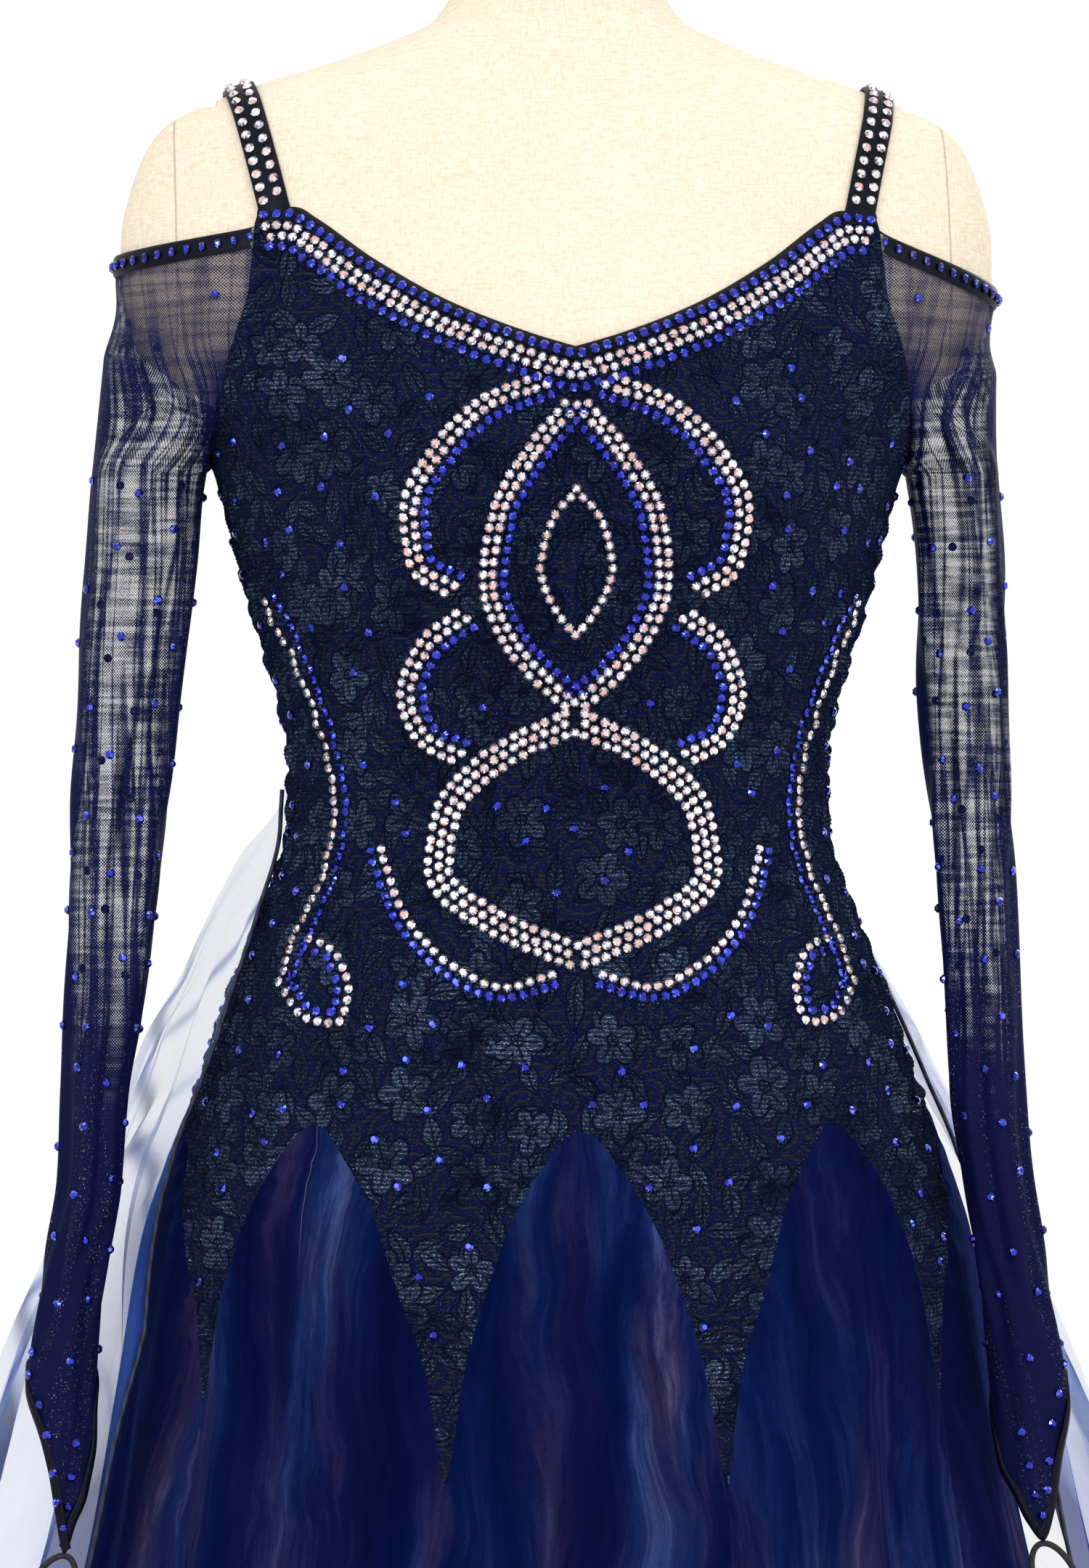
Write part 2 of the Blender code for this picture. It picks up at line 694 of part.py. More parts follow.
def sleeve_grid(side):
    """The sleeve's outer points from its top band to its cuff, and the rows that close round."""
    sign = -1 if side == "left" else 1
    curves = sleeve_curves(side)
    columns = 17
    across = np.linspace(0, 1, columns)
    rows = []
    for height, front_angle in ARMHOLE[2:]:
        blend = float(ease((1.325 - height) / (1.325 - ARMPIT_HEIGHT)))
        body_angle = lerp(front_angle, 180 - front_angle, across)
        fall = SLEEVE_TOP_DROP[side] * float(ease((height - 1.25) / (ARMHOLE[2][0] - 1.25)))
        wide = np.sin(across * math.pi) ** 0.8
        level = height - fall * wide
        on_body = body_point(sign * body_angle, level)
        start = lerp(-20.0, -90.0, ease((1.33 - height) / (1.33 - ARMPIT_HEIGHT)))
        hanging = sleeve_ring(side, curves, lerp(start, 180 - start, across), level)
        # The outer side of the sleeve falls straight from its band
        loose = np.maximum(blend, ease((ARMHOLE[2][0] - height) / 0.045) * np.sin(across * math.pi) ** 1.5)
        mixed = lerp(on_body, hanging, loose[:, None])
        for end, place in ((0, across), (-1, 1 - across)):
            pull = np.clip(1 - place / 0.45, 0, 1) ** 2
            mixed += (on_body[end] - mixed[end]) * pull[:, None]
        rows.append(mixed)
    armpit = rows[-1]
    armpit[0] = armpit[-1] = lerp(armpit[0], body_point(sign * 90.0, ARMPIT_HEIGHT), 0.5)
    turns = np.linspace(-90, 270, columns)
    for height in SLEEVE_ROWS:
        rows.append(sleeve_ring(side, curves, turns, height))
    cuff_turns, cuff_heights = cuff_edge(side, turns)
    edge = sleeve_ring(side, curves, cuff_turns, cuff_heights)
    rows.append(edge)
    return np.array(rows), len(ARMHOLE[2:]) - 1


def cuff_edge(side, turns):
    """Where the cuff's edge runs, as turns round the sleeve and heights, one for each column."""
    rows = CUFFS[side]
    level = smooth_curve(column(rows, CUFF_COLUMNS, "angle"), column(rows, CUFF_COLUMNS, "height"))
    return turns, level((turns + 180.0) % 360.0 - 180.0)


def add_sleeves():
    """Both sleeves with their top bands, cuff bindings and finger loops."""
    for side, sign in (("left", -1), ("right", 1)):
        points, closed_from = sleeve_grid(side)
        rows, columns = points.shape[:2]
        joined = range(closed_from, rows)
        faces = grid_faces(rows, columns, joined)
        if sign > 0:
            faces = [face[::-1] for face in faces]
        binding = cuff_binding_points(points, faces, columns)
        points = points.reshape(-1, 3)
        points[-columns:] = binding[0]
        add_cloth(f"sleeve_{side}", points, faces, "mesh", step=0.0002)
        band_faces = grid_faces(2, columns, (0, 1))
        if sign > 0:
            band_faces = [face[::-1] for face in band_faces]
        add_cloth(f"cuff_binding_{side}", binding, band_faces, "satin", wall=0.0014)
        add_band(side, sign)


def cuff_binding_points(points, faces, columns):
    """The cuff's edge, and a line the binding's width inside it, for every column."""
    flat = points.reshape(-1, 3)
    normals = vertex_normals(flat, faces)
    following = edge_loops(faces)
    inside = step_back(flat, normals, following, CUFF_BINDING_WIDTH)
    inner = inside[-columns:]
    inner[-1] = inner[0]
    outer = flat[-columns:].copy()
    outer[-1] = outer[0]
    return np.array([inner, outer])


def add_band(side, sign):
    """The satin band along the top of a sleeve, from the front of the armhole to the back."""
    across = np.linspace(0, 1, 17)
    angles, heights = [], []
    for height, front_angle in (ARMHOLE[1], ARMHOLE[2]):
        angles.append(sign * lerp(front_angle, 180 - front_angle, across))
        wide = np.sin(across * math.pi) ** 0.8
        heights.append(height - SLEEVE_TOP_DROP[side] * wide)
    angles, heights = np.array(angles), np.array(heights)
    add_body_panel(f"sleeve_band_{side}", angles, heights, "satin", out=0.0003, wall=0.0016)


def add_finger_loop(side):
    """An elastic loop that hangs from the cuff's tip and goes over a finger."""
    sign = -1 if side == "left" else 1
    curves = sleeve_curves(side)
    tip_height = min(column(CUFFS[side], CUFF_COLUMNS, "height"))
    tip = sleeve_ring(side, curves, np.array([0.0]), tip_height)[0]
    half_width, half_height = 0.010, 0.021
    lean = math.radians(25) * sign
    rings = []
    radius = ELASTIC_THICKNESS / 2
    around = np.linspace(0, 2 * math.pi, 18, endpoint=False)
    for turn in around:
        flat = np.array([half_width * math.cos(turn), 0.0, half_height * math.sin(turn)])
        out = np.array([math.cos(turn), 0.0, math.sin(turn) * half_width / half_height])
        out /= np.linalg.norm(out)
        for corner in np.linspace(0, 2 * math.pi, 6, endpoint=False):
            point = flat + radius * (out * math.cos(corner) + np.array([0, 1, 0]) * math.sin(corner))
            turned = (
                point[0] * math.cos(lean) - point[2] * math.sin(lean),
                point[1],
                point[0] * math.sin(lean) + point[2] * math.cos(lean),
            )
            rings.append(np.array(turned))
    rings = np.array(rings).reshape(len(around), 6, 3)
    highest = rings.reshape(-1, 3)[rings.reshape(-1, 3)[:, 2].argmax()]
    seat = np.array([tip[0] - highest[0], tip[1] + 0.0007, tip_height + ELASTIC_SEAT[side] - highest[2]])
    faces = []
    for ring in range(len(around)):
        beside = (ring + 1) % len(around)
        for corner in range(6):
            after = (corner + 1) % 6
            faces.append([ring * 6 + corner, ring * 6 + after, beside * 6 + after, beside * 6 + corner])
    add_mesh(f"finger_loop_{side}", rings.reshape(-1, 3) + seat, faces, "elastic")


def float_wave(side, across, height):
    """The folds of a float, deeper towards its hem and leaning outwards as they fall."""
    lean = 0.02 * (FLOAT_TOP - height)
    phase = 0.15 if side == "left" else 0.55
    depth = 0.026 * ease((FLOAT_TOP - 0.05 - height) / 0.75)
    return depth * np.sin(2 * math.pi * (FLOAT_FOLDS * (across - lean) + phase)) * ease(across * 6)


def float_points(side, columns):
    """The outer points of a float, rows from the waist to its hem."""
    sign = -1 if side == "left" else 1
    rows = FLOATS[side]
    across = np.linspace(0, 1, columns)
    points = []
    for height, front_angle, spread, lift in rows:
        angle = lerp(front_angle, FLOAT_CENTRE_BACK, across)
        base = body_point(sign * angle, height)
        crest = fold_depth(height)
        bulge = spread * np.sin(math.pi * np.clip(across * 1.32 + 0.02, 0, 1)) ** 1.6
        reach = np.hypot(base[:, 0], base[:, 1])
        wave = np.maximum(float_wave(side, across, height) + reach * bulge, 0.0)
        smooth = fold_depth(height) * (fold_wave(sign * angle) - 0.35)
        away = (reach - smooth + crest + lift + FLOAT_WALL + wave) / reach
        points.append(np.stack([base[:, 0] * away, base[:, 1] * away, base[:, 2]], axis=-1))
    return np.array(points)


def add_floats():
    """The two sheer overskirt floats."""
    for side, sign in (("left", -1), ("right", 1)):
        points = float_points(side, FLOAT_SECTIONS)
        faces = grid_faces(*points.shape[:2])
        if sign > 0:
            faces = [face[::-1] for face in faces]
        add_cloth(f"float_{side}", points, faces, "sheer", wall=FLOAT_WALL)


def form_ring(height, columns_front=9, columns_side=4):
    """One ring of the form's torso, cut flat at the shoulder planes."""
    half_width = float(body_half_width(height)) - FORM_INSET
    corner = 78.0
    if half_width > CAP_PLANE:
        corner = min(corner, math.degrees(math.asin(CAP_PLANE / half_width)))
    front = np.linspace(-corner, corner, columns_front)
    right = np.linspace(corner, 180 - corner, columns_side + 1)[1:]
    back = np.linspace(180 - corner, 180 + corner, columns_front)[1:]
    left = np.linspace(180 + corner, 360 - corner, columns_side + 1)[1:-1]
    angles = np.concatenate([front, right, back, left])
    ring = body_point(angles, min(height, FORM_TOP), -FORM_INSET)
    ring[:, 0] = np.clip(ring[:, 0], -CAP_PLANE, CAP_PLANE)
    return ring


def add_form():
    """The linen-covered torso, its two shoulder caps, the pole and the base."""
    heights = (
        FORM_BOTTOM, 0.900, 0.935, 0.973, 1.016, 1.055, 1.092, 1.124, 1.168, 1.200, 1.2365,
        1.262, 1.285, 1.310, 1.335, 1.360, 1.382, 1.400, 1.412, 1.422, 1.433, 1.444, 1.456, 1.472,
        FORM_TOP,
    )
    add_rings("form_torso", [form_ring(height) for height in heights], "linen")
    for side, sign in (("left", -1), ("right", 1)):
        add_rings(f"form_cap_{side}", cap_rings(sign), "linen")
    turned("stand_pole", ((POLE_RADIUS, BASE_THICKNESS + GAP), (POLE_RADIUS, FORM_BOTTOM - GAP)), 20)
    turned(
        "stand_base",
        (
            (BASE_RADIUS, 0.0),
            (BASE_RADIUS, 0.010),
            (BASE_RADIUS - 0.004, 0.0145),
            (BASE_RADIUS - 0.012, 0.0165),
            (0.050, BASE_THICKNESS),
        ),
        40,
    )


def cap_rings(sign):
    """The rings of a shoulder cap, from its slanted underside to its top."""
    rings = []
    plane = CAP_PLANE + GAP
    count, rows = 9, 9
    for row in range(rows):
        rise = row / (rows - 1)
        level = lerp(CAP_BOTTOM_INNER, CAP_TOP, ease(rise) * 0.35 + rise * 0.65)
        height = np.full(count, level)
        for _ in range(6):
            half_width = body_half_width(height) - FORM_INSET
            corner = np.degrees(np.arcsin(np.clip(plane / half_width, 0, 1)))
            across = np.linspace(0, 1, count)
            angle = lerp(corner, 180 - corner, across)
            reach = half_width * np.sin(np.radians(angle))
            slope = (CAP_BOTTOM_OUTER - CAP_BOTTOM_INNER) / (0.217 - plane)
            height = level + slope * np.maximum(reach - plane, 0) * (1 - rise)
        ring = body_point(angle, height, -FORM_INSET)
        ring[:, 0] = np.maximum(ring[:, 0], plane)
        ring[[0, -1], 0] = plane
        rings.append(ring)
    rings = np.array(rings)
    if sign < 0:
        rings[..., 0] *= -1
        rings = rings[:, ::-1]
    return rings


def turned(name, profile, columns):
    """A round solid turned about the vertical axis, from radius and height pairs."""
    turns = np.linspace(0, 2 * math.pi, columns, endpoint=False)
    rings = []
    for radius, height in profile:
        ring = [(radius * math.cos(turn), radius * math.sin(turn), height) for turn in turns]
        rings.append(ring)
    add_rings(name, rings, "painted_steel")


for old in list(bpy.data.objects):
    bpy.data.objects.remove(old, do_unlink=True)

add_form()
add_bodice()
add_straps()
add_sleeves()
for hand in ("left", "right"):
    add_finger_loop(hand)
add_godets()
add_floats()
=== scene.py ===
"""A navy ballroom maxi dress of stretch lace, organza and mesh on a linen dress form.

Metres, +Z up, the front faces -Y. Angles go round the body from the centre front, in degrees.
"""

import math

import bpy
import numpy as np
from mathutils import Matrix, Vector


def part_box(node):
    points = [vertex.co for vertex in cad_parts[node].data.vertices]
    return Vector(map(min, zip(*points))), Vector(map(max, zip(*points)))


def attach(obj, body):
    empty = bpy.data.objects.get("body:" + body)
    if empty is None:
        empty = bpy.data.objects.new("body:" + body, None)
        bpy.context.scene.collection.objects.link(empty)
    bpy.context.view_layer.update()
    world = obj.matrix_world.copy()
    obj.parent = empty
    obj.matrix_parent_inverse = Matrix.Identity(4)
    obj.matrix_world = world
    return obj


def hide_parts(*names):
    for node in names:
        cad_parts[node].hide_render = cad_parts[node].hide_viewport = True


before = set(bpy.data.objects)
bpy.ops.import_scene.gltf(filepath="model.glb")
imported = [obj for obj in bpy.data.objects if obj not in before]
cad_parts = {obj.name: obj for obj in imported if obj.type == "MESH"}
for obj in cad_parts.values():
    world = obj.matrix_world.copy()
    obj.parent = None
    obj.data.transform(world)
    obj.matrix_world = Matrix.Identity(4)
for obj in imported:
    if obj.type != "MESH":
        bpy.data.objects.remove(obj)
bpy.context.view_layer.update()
bpy.ops.object.select_all(action="DESELECT")


# Dress form: a padded torso covered in natural linen, with a neck block and two shoulder caps. The
# dress is cut to this figure, so the table of its sections also carries every panel of the dress.
# Half width, front depth and back depth, in metres, at each height.
BODY = np.array(
    [
        (0.050, 0.4300, 0.405, 0.430), (0.400, 0.3180, 0.285, 0.305), (0.694, 0.2300, 0.190, 0.200),
        (0.789, 0.2145, 0.166, 0.174), (0.854, 0.2055, 0.149, 0.157), (0.895, 0.1935, 0.137, 0.146),
        (0.930, 0.1795, 0.128, 0.137), (0.973, 0.1650, 0.118, 0.126), (1.016, 0.1480, 0.108, 0.110),
        (1.060, 0.1343, 0.101, 0.093), (1.092, 0.1338, 0.099, 0.088), (1.124, 0.1395, 0.101, 0.090),
        (1.168, 0.1526, 0.106, 0.097), (1.211, 0.1640, 0.110, 0.104), (1.2365, 0.1715, 0.110, 0.107),
        (1.255, 0.1820, 0.109, 0.108), (1.274, 0.1970, 0.106, 0.109), (1.291, 0.2090, 0.103, 0.109),
        (1.310, 0.2160, 0.098, 0.108), (1.330, 0.2190, 0.092, 0.106), (1.352, 0.2185, 0.084, 0.102),
        (1.372, 0.2143, 0.077, 0.097), (1.394, 0.2057, 0.070, 0.090), (1.405, 0.1970, 0.066, 0.086),
        (1.416, 0.1765, 0.062, 0.082), (1.427, 0.1480, 0.059, 0.078), (1.4375, 0.1135, 0.056, 0.074),
        (1.448, 0.0855, 0.054, 0.070), (1.459, 0.0640, 0.052, 0.066), (1.475, 0.0550, 0.051, 0.061),
        (1.520, 0.0530, 0.052, 0.057),
    ]
)
BUST_X, BUST_HEIGHT, BUST_RISE, BUST_WIDE, BUST_TALL = 0.078, 1.232, 0.017, 0.048, 0.050
FORM_INSET = 0.0024
CAP_PLANE = 0.1695
# The picture's left is at negative x
SIDES = {"left": -1, "right": 1}
# Where the lace ends and the godets begin: angle and height of each arch top and lace point
ZIGZAG = (
    (0.0, 0.916), (17.7, 0.745), (43.0, 0.918), (56.5, 0.783), (90.0, 0.924),
    (122.0, 0.783), (137.0, 0.918), (162.3, 0.745), (180.0, 0.916),
)
FOLD_CRESTS = ((0.19, 0.85), (0.50, 1.00), (0.82, 0.80))
FOLD_VALLEYS = (0.0, 0.345, 0.66, 1.0)


def smooth_curve(places, values):
    """A curve through the points that stays smooth and never swings past them."""
    order = np.argsort(places)
    x, y = np.asarray(places, float)[order], np.asarray(values, float)[order]
    step = np.diff(x)
    slope = np.diff(y) / step
    tangent = np.zeros(len(x))
    tangent[0], tangent[-1] = slope[0], slope[-1]
    same_way = slope[:-1] * slope[1:] > 0
    before, after = slope[:-1][same_way], slope[1:][same_way]
    tangent[1:-1][same_way] = 2 * before * after / (before + after)

    def at(place):
        place = np.clip(np.asarray(place, float), x[0], x[-1])
        cell = np.clip(np.searchsorted(x, place, side="right") - 1, 0, len(x) - 2)
        t = (place - x[cell]) / step[cell]
        rise = (2 * t**3 - 3 * t**2 + 1) * y[cell] + (-2 * t**3 + 3 * t**2) * y[cell + 1]
        lean = (t**3 - 2 * t**2 + t) * tangent[cell] + (t**3 - t**2) * tangent[cell + 1]
        return rise + lean * step[cell]

    return at


def ease(share):
    """A step from 0 to 1 with soft ends."""
    share = np.clip(share, 0.0, 1.0)
    return share * share * (3 - 2 * share)


def lerp(first, last, share):
    """The value a share of the way from the first to the last."""
    return first + (last - first) * share


half_width_at = smooth_curve(BODY[:, 0], BODY[:, 1])
front_depth_at = smooth_curve(BODY[:, 0], BODY[:, 2])
back_depth_at = smooth_curve(BODY[:, 0], BODY[:, 3])
fold_depth_at = smooth_curve(
    (0.05, 0.20, 0.38, 0.54, 0.694, 0.78, 0.86, 0.93),
    (0.0300, 0.0248, 0.0188, 0.0137, 0.0085, 0.0050, 0.0020, 0.0000),
)
LACE_POINT_ANGLES = sorted(sign * angle for angle, height in ZIGZAG if height < 0.85 for sign in (-1, 1))


def fold_wave(angle):
    """The height of the skirt's folds round the body, 0 in the valleys and 1 on a full crest."""
    angle = (np.asarray(angle, float) + 180.0) % 360.0 - 180.0
    seams = np.array([LACE_POINT_ANGLES[-1] - 360.0, *LACE_POINT_ANGLES, LACE_POINT_ANGLES[0] + 360.0])
    cell = np.clip(np.searchsorted(seams, angle, side="right") - 1, 0, len(seams) - 2)
    share = (angle - seams[cell]) / (seams[cell + 1] - seams[cell])
    wave = np.zeros_like(share)
    for fold, (crest, height) in enumerate(FOLD_CRESTS):
        low, high = FOLD_VALLEYS[fold], FOLD_VALLEYS[fold + 1]
        side = np.minimum((share - low) / (crest - low), (high - share) / (high - crest))
        wave += np.where((share >= low) & (share <= high), height * ease(side), 0.0)
    return wave


def body_point(angle, height, out=0.0):
    """Points of the dress's outer face, moved out from the middle by a distance."""
    angle, height, out = np.broadcast_arrays(np.asarray(angle, float), height, out)
    turn = np.radians(angle)
    facing_back = np.cos(turn) < 0
    depth = np.where(facing_back, back_depth_at(height), front_depth_at(height))
    x = half_width_at(height) * np.sin(turn)
    y = -depth * np.cos(turn)
    mound = np.exp(-(((np.abs(x) - BUST_X) / BUST_WIDE) ** 2) - ((height - BUST_HEIGHT) / BUST_TALL) ** 2)
    y = y - np.where(facing_back, 0.0, BUST_RISE * mound * np.clip(np.cos(turn) * 3, 0, 1))
    reach = np.maximum(np.hypot(x, y), 1e-6)
    grow = 1 + (fold_depth_at(height) * (fold_wave(angle) - 0.35) + out) / reach
    return np.stack([x * grow, y * grow, height], axis=-1)


def linear(hex_colour, alpha=1.0):
    """An sRGB hex colour as the linear values that Blender's sockets take."""
    parts = [int(hex_colour[place : place + 2], 16) / 255 for place in (1, 3, 5)]
    return (*[p / 12.92 if p <= 0.04045 else ((p + 0.055) / 1.055) ** 2.4 for p in parts], alpha)


def connect(target, sockets):
    """Sets or links sockets of a shader node, each by name or number. A node as a value stands for its
    first output."""
    for place, value in sockets.items():
        if isinstance(value, bpy.types.Node):
            value = value.outputs[0]
        if isinstance(value, bpy.types.NodeSocket):
            target.id_data.links.new(value, target.inputs[place])
        else:
            target.inputs[place].default_value = value


def node(tree, kind, *in_order, sockets=None, stops=(), **named):
    """Adds a shader node. Its kind may be followed by its operation. Its sockets are given in order, by
    number or by name, and names in small letters are its settings. Stops are a colour ramp's, each with
    its place and its hex colour or grey value."""
    kind, *operation = kind.split()
    added = tree.nodes.new(f"ShaderNode{kind}")
    if operation:
        added.operation = operation[0]
    for name, value in named.items():
        if name.islower():
            setattr(added, name, value)
    connect(added, dict(enumerate(in_order)))
    connect(added, sockets or {name: value for name, value in named.items() if not name.islower()})
    while stops and len(added.color_ramp.elements) < len(stops):
        added.color_ramp.elements.new(0.5)
    for order, (place, colour) in enumerate(stops):
        element = added.color_ramp.elements[order]
        element.position = place
        element.color = linear(colour) if isinstance(colour, str) else (colour, colour, colour, 1.0)
    return added


def new_material(name):
    """An empty node material with its tree and its Principled shader, joined to the output."""
    material = bpy.data.materials.new(name)
    material.use_nodes = True
    return material, material.node_tree, material.node_tree.nodes["Principled BSDF"]


def grid_mesh(name, points, uv=None, closed=(), attributes=None):
    """A mesh of quads over a grid of points. A grid closes round across its columns, its rows or both."""
    rows, columns = points.shape[:2]
    index = np.arange(rows * columns).reshape(rows, columns)
    if "columns" in closed:
        index = np.hstack([index, index[:, :1]])
    if "rows" in closed:
        index = np.vstack([index, index[:1]])
    corners = [index[:-1, :-1], index[:-1, 1:], index[1:, 1:], index[1:, :-1]]
    quads = np.stack(corners, axis=-1).reshape(-1, 4)
    mesh = bpy.data.meshes.new(name)
    mesh.vertices.add(rows * columns)
    mesh.vertices.foreach_set("co", points.reshape(-1).astype(np.float32))
    mesh.loops.add(quads.size)
    mesh.loops.foreach_set("vertex_index", quads.reshape(-1).astype(np.int32))
    mesh.polygons.add(len(quads))
    mesh.polygons.foreach_set("loop_start", np.arange(0, quads.size, 4, dtype=np.int32))
    if uv is not None:
        layer = mesh.uv_layers.new(name="cloth")
        layer.data.foreach_set("uv", uv.reshape(-1, 2)[quads.reshape(-1)].reshape(-1).astype(np.float32))
    for label, values in (attributes or {}).items():
        stored = mesh.attributes.new(label, "FLOAT", "POINT")
        stored.data.foreach_set("value", values.reshape(-1).astype(np.float32))
    mesh.update(calc_edges=True)
    mesh.validate()
    mesh.shade_smooth()
    return mesh


def add_piece(name, mesh, material, nodes=()):
    """Puts a mesh in the scene as a piece that rides on the dress and stands for its solids."""
    piece = bpy.data.objects.new(name, mesh)
    bpy.context.scene.collection.objects.link(piece)
    piece.data.materials.append(material)
    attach(piece, "root")
    if nodes:
        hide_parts(*nodes)
    return piece


def linen_material():
    """Natural linen: matt, warm off-white, with upright ribs 1 to 2 mm apart and a fine seam along
    the middle of each shoulder cap."""
    material, tree, shader = new_material("natural_linen")
    place = node(tree, "TexCoord").outputs["Object"]
    split = node(tree, "SeparateXYZ", place)
    warp = node(tree, "Mapping", Vector=place, Scale=(900, 900, 90))
    weft = node(tree, "Mapping", Vector=place, Scale=(160, 160, 1100))
    upright = node(tree, "TexNoise", Vector=warp, Scale=1.0, Detail=1.0)
    level = node(tree, "TexNoise", Vector=weft, Scale=1.0, Detail=1.0)
    weave = node(tree, "Math ADD", upright, level)
    cloud = node(tree, "TexNoise", Vector=place, Scale=9.0, Detail=3.0)
    tone = node(tree, "Math MULTIPLY_ADD", cloud, 0.12, node(tree, "Math MULTIPLY", weave, 0.42))
    colour = node(tree, "ValToRGB", tone, stops=[(0.30, "#cdc0a9"), (0.48, "#dccfba"), (0.66, "#e5dbc9")])
    # The seam wanders a millimetre about a plane 190 mm out from the middle
    out = node(tree, "Math MULTIPLY_ADD", cloud, 0.004, node(tree, "Math ABSOLUTE", split.outputs[0]))
    off = node(tree, "Math ABSOLUTE", node(tree, "Math SUBTRACT", out, 0.1920))
    seam = node(tree, "MapRange", off, 0.0002, 0.0007, 0.75, 0.0)
    colour = node(
        tree, "Mix", sockets={0: seam, 6: colour, 7: linear("#a3968a")}, data_type="RGBA"
    ).outputs[2]
    bump = node(tree, "Bump", Strength=0.3, Distance=0.0006, Height=weave)
    connect(shader, {"Base Color": colour, "Normal": bump, "Roughness": 0.92, "Specular IOR Level": 0.1})
    return material


def form_corner(height):
    """The angle at which a section of the form meets the plane of its shoulder caps."""
    half_width = half_width_at(height) - FORM_INSET
    return np.degrees(np.arcsin(np.clip(CAP_PLANE / half_width, 0, math.sin(math.radians(78)))))


linen = linen_material()
levels = np.concatenate(
    [np.linspace(0.865, 1.40, 130), np.linspace(1.4015, 1.475, 70), np.linspace(1.478, 1.514, 12)]
)
rings = []
for level in levels:
    corner = float(form_corner(level))
    around = np.concatenate(
        [
            np.linspace(-corner, corner, 61)[:-1],
            np.linspace(corner, 180 - corner, 21)[:-1],
            np.linspace(180 - corner, 180 + corner, 61)[:-1],
            np.linspace(180 + corner, 360 - corner, 21)[:-1],
        ]
    )
    ring = body_point(around, level, -FORM_INSET)
    ring[:, 0] = np.clip(ring[:, 0], -CAP_PLANE, CAP_PLANE)
    rings.append(ring)
# The neck block's top is rounded over to a flat middle
neck_top = rings[-1]
for share in np.linspace(0.1, 1.0, 10):
    ring = neck_top.copy()
    ring[:, :2] *= math.cos(share * math.pi / 2) * 0.14 + 0.86
    ring[:, 2] = 1.514 + 0.006 * math.sin(share * math.pi / 2)
    rings.append(ring)
flat_edge = rings[-1]
for share in (0.6, 0.3, 0.02):
    ring = flat_edge.copy()
    ring[:, :2] *= share
    rings.append(ring)
under = [rings[0] * (share, share, 1) for share in (0.02, 0.5, 0.99)]
torso_mesh = grid_mesh("linen_torso", np.array(under + rings), closed=("columns",))
torso_mesh.set_sharp_from_angle(angle=math.radians(40))
add_piece("linen_torso", torso_mesh, linen, ["form_torso"])
for side, sign in SIDES.items():
    rings = []
    for rise in np.linspace(0, 1, 50):
        level = lerp(1.270, 1.4135, ease(rise) * 0.35 + rise * 0.65)
        height = np.full(41, level)
        for _ in range(8):
            half_width = half_width_at(height) - FORM_INSET
            corner = np.degrees(np.arcsin(np.clip(CAP_PLANE / half_width, 0, 1)))
            around = lerp(corner, 180 - corner, np.linspace(0, 1, 41))
            reach = half_width * np.sin(np.radians(around))
            height = level + 0.59 * np.maximum(reach - CAP_PLANE, 0) * (1 - rise)
        ring = body_point(around, height, -FORM_INSET)
        ring[:, 0] = np.maximum(ring[:, 0], CAP_PLANE - 0.0004)
        rings.append(np.vstack([ring, lerp(ring[-1], ring[0], np.linspace(0.1, 0.9, 9)[:, None])]))
    middle = lerp(rings[0][0], rings[0][40], 0.5)
    under = [lerp(middle, rings[0], share) for share in (0.02, 0.5, 0.97)]
    top = [lerp(rings[-1].mean(axis=0), rings[-1], share) for share in (0.9, 0.5, 0.02)]
    points = np.array(under + rings + top)
    points[..., 0] *= sign
    if sign < 0:
        points = points[:, ::-1]
    cap_mesh = grid_mesh(f"linen_cap_{side}", points, closed=("columns",))
    cap_mesh.set_sharp_from_angle(angle=math.radians(40))
    add_piece(f"linen_cap_{side}", cap_mesh, linen, [f"form_cap_{side}"])


# Stand: a turned steel tube on a round pressed base, both sprayed satin black. The CAD solids keep
# their shape, and only take the paint.
def paint_material():
    """Sprayed satin paint on steel: near black, with the faint orange peel of the spray."""
    material, tree, shader = new_material("satin_black_paint")
    place = node(tree, "TexCoord").outputs["Object"]
    peel = node(tree, "TexNoise", Vector=place, Scale=900.0, Detail=2.0)
    bump = node(tree, "Bump", Strength=0.08, Distance=0.0004, Height=peel)
    colour = node(tree, "ValToRGB", peel, stops=[(0.3, "#15161a"), (0.7, "#1b1c20")])
    connect(shader, {"Base Color": colour, "Normal": bump, "Roughness": 0.38})
    return material


paint = paint_material()
for part_name in ("stand_pole", "stand_base"):
    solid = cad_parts[part_name]
    solid.data.materials.clear()
    solid.data.materials.append(paint)


# Bodice: two panels of navy stretch lace, seamed at the sides and mounted on a dark lining. The
# lace's leaves, flowers and scrolls are woven with a metallic thread, and its lower edge is cut into
# points between the godets.
ARMHOLE = np.array(
    [
        (1.3600, 43.5), (1.3500, 44.3), (1.3405, 44.5), (1.3220, 45.3), (1.3000, 49.3),
        (1.2780, 56.6), (1.2560, 68.4), (1.2450, 78.5), (1.2365, 90.0),
    ]
)
armhole_angle = smooth_curve(ARMHOLE[:, 0], ARMHOLE[:, 1])
# The armhole runs from the corners of the neck down to the underarm. The lace is whole down to the hip
ARMHOLE_TOP, NECK_CORNER = ARMHOLE[0]
UNDERARM, HIP = ARMHOLE[-1, 0], 0.932
FRONT_NECKLINE = (
    (0, 1.2905), (0.020, 1.2965), (0.059, 1.3120), (0.096, 1.3335), (0.124, 1.3545), (0.1335, 1.36),
    (0.16, 1.36),
)
BACK_NECKLINE = (
    (0, 1.3000), (0.050, 1.3080), (0.096, 1.3300), (0.124, 1.3530), (0.1335, 1.36), (0.16, 1.36)
)
arch_drop = smooth_curve(
    (0.0, 0.06, 0.32, 0.53, 0.71, 0.88, 1.0), (0.0, 0.004, 0.105, 0.238, 0.429, 0.657, 1.0)
)


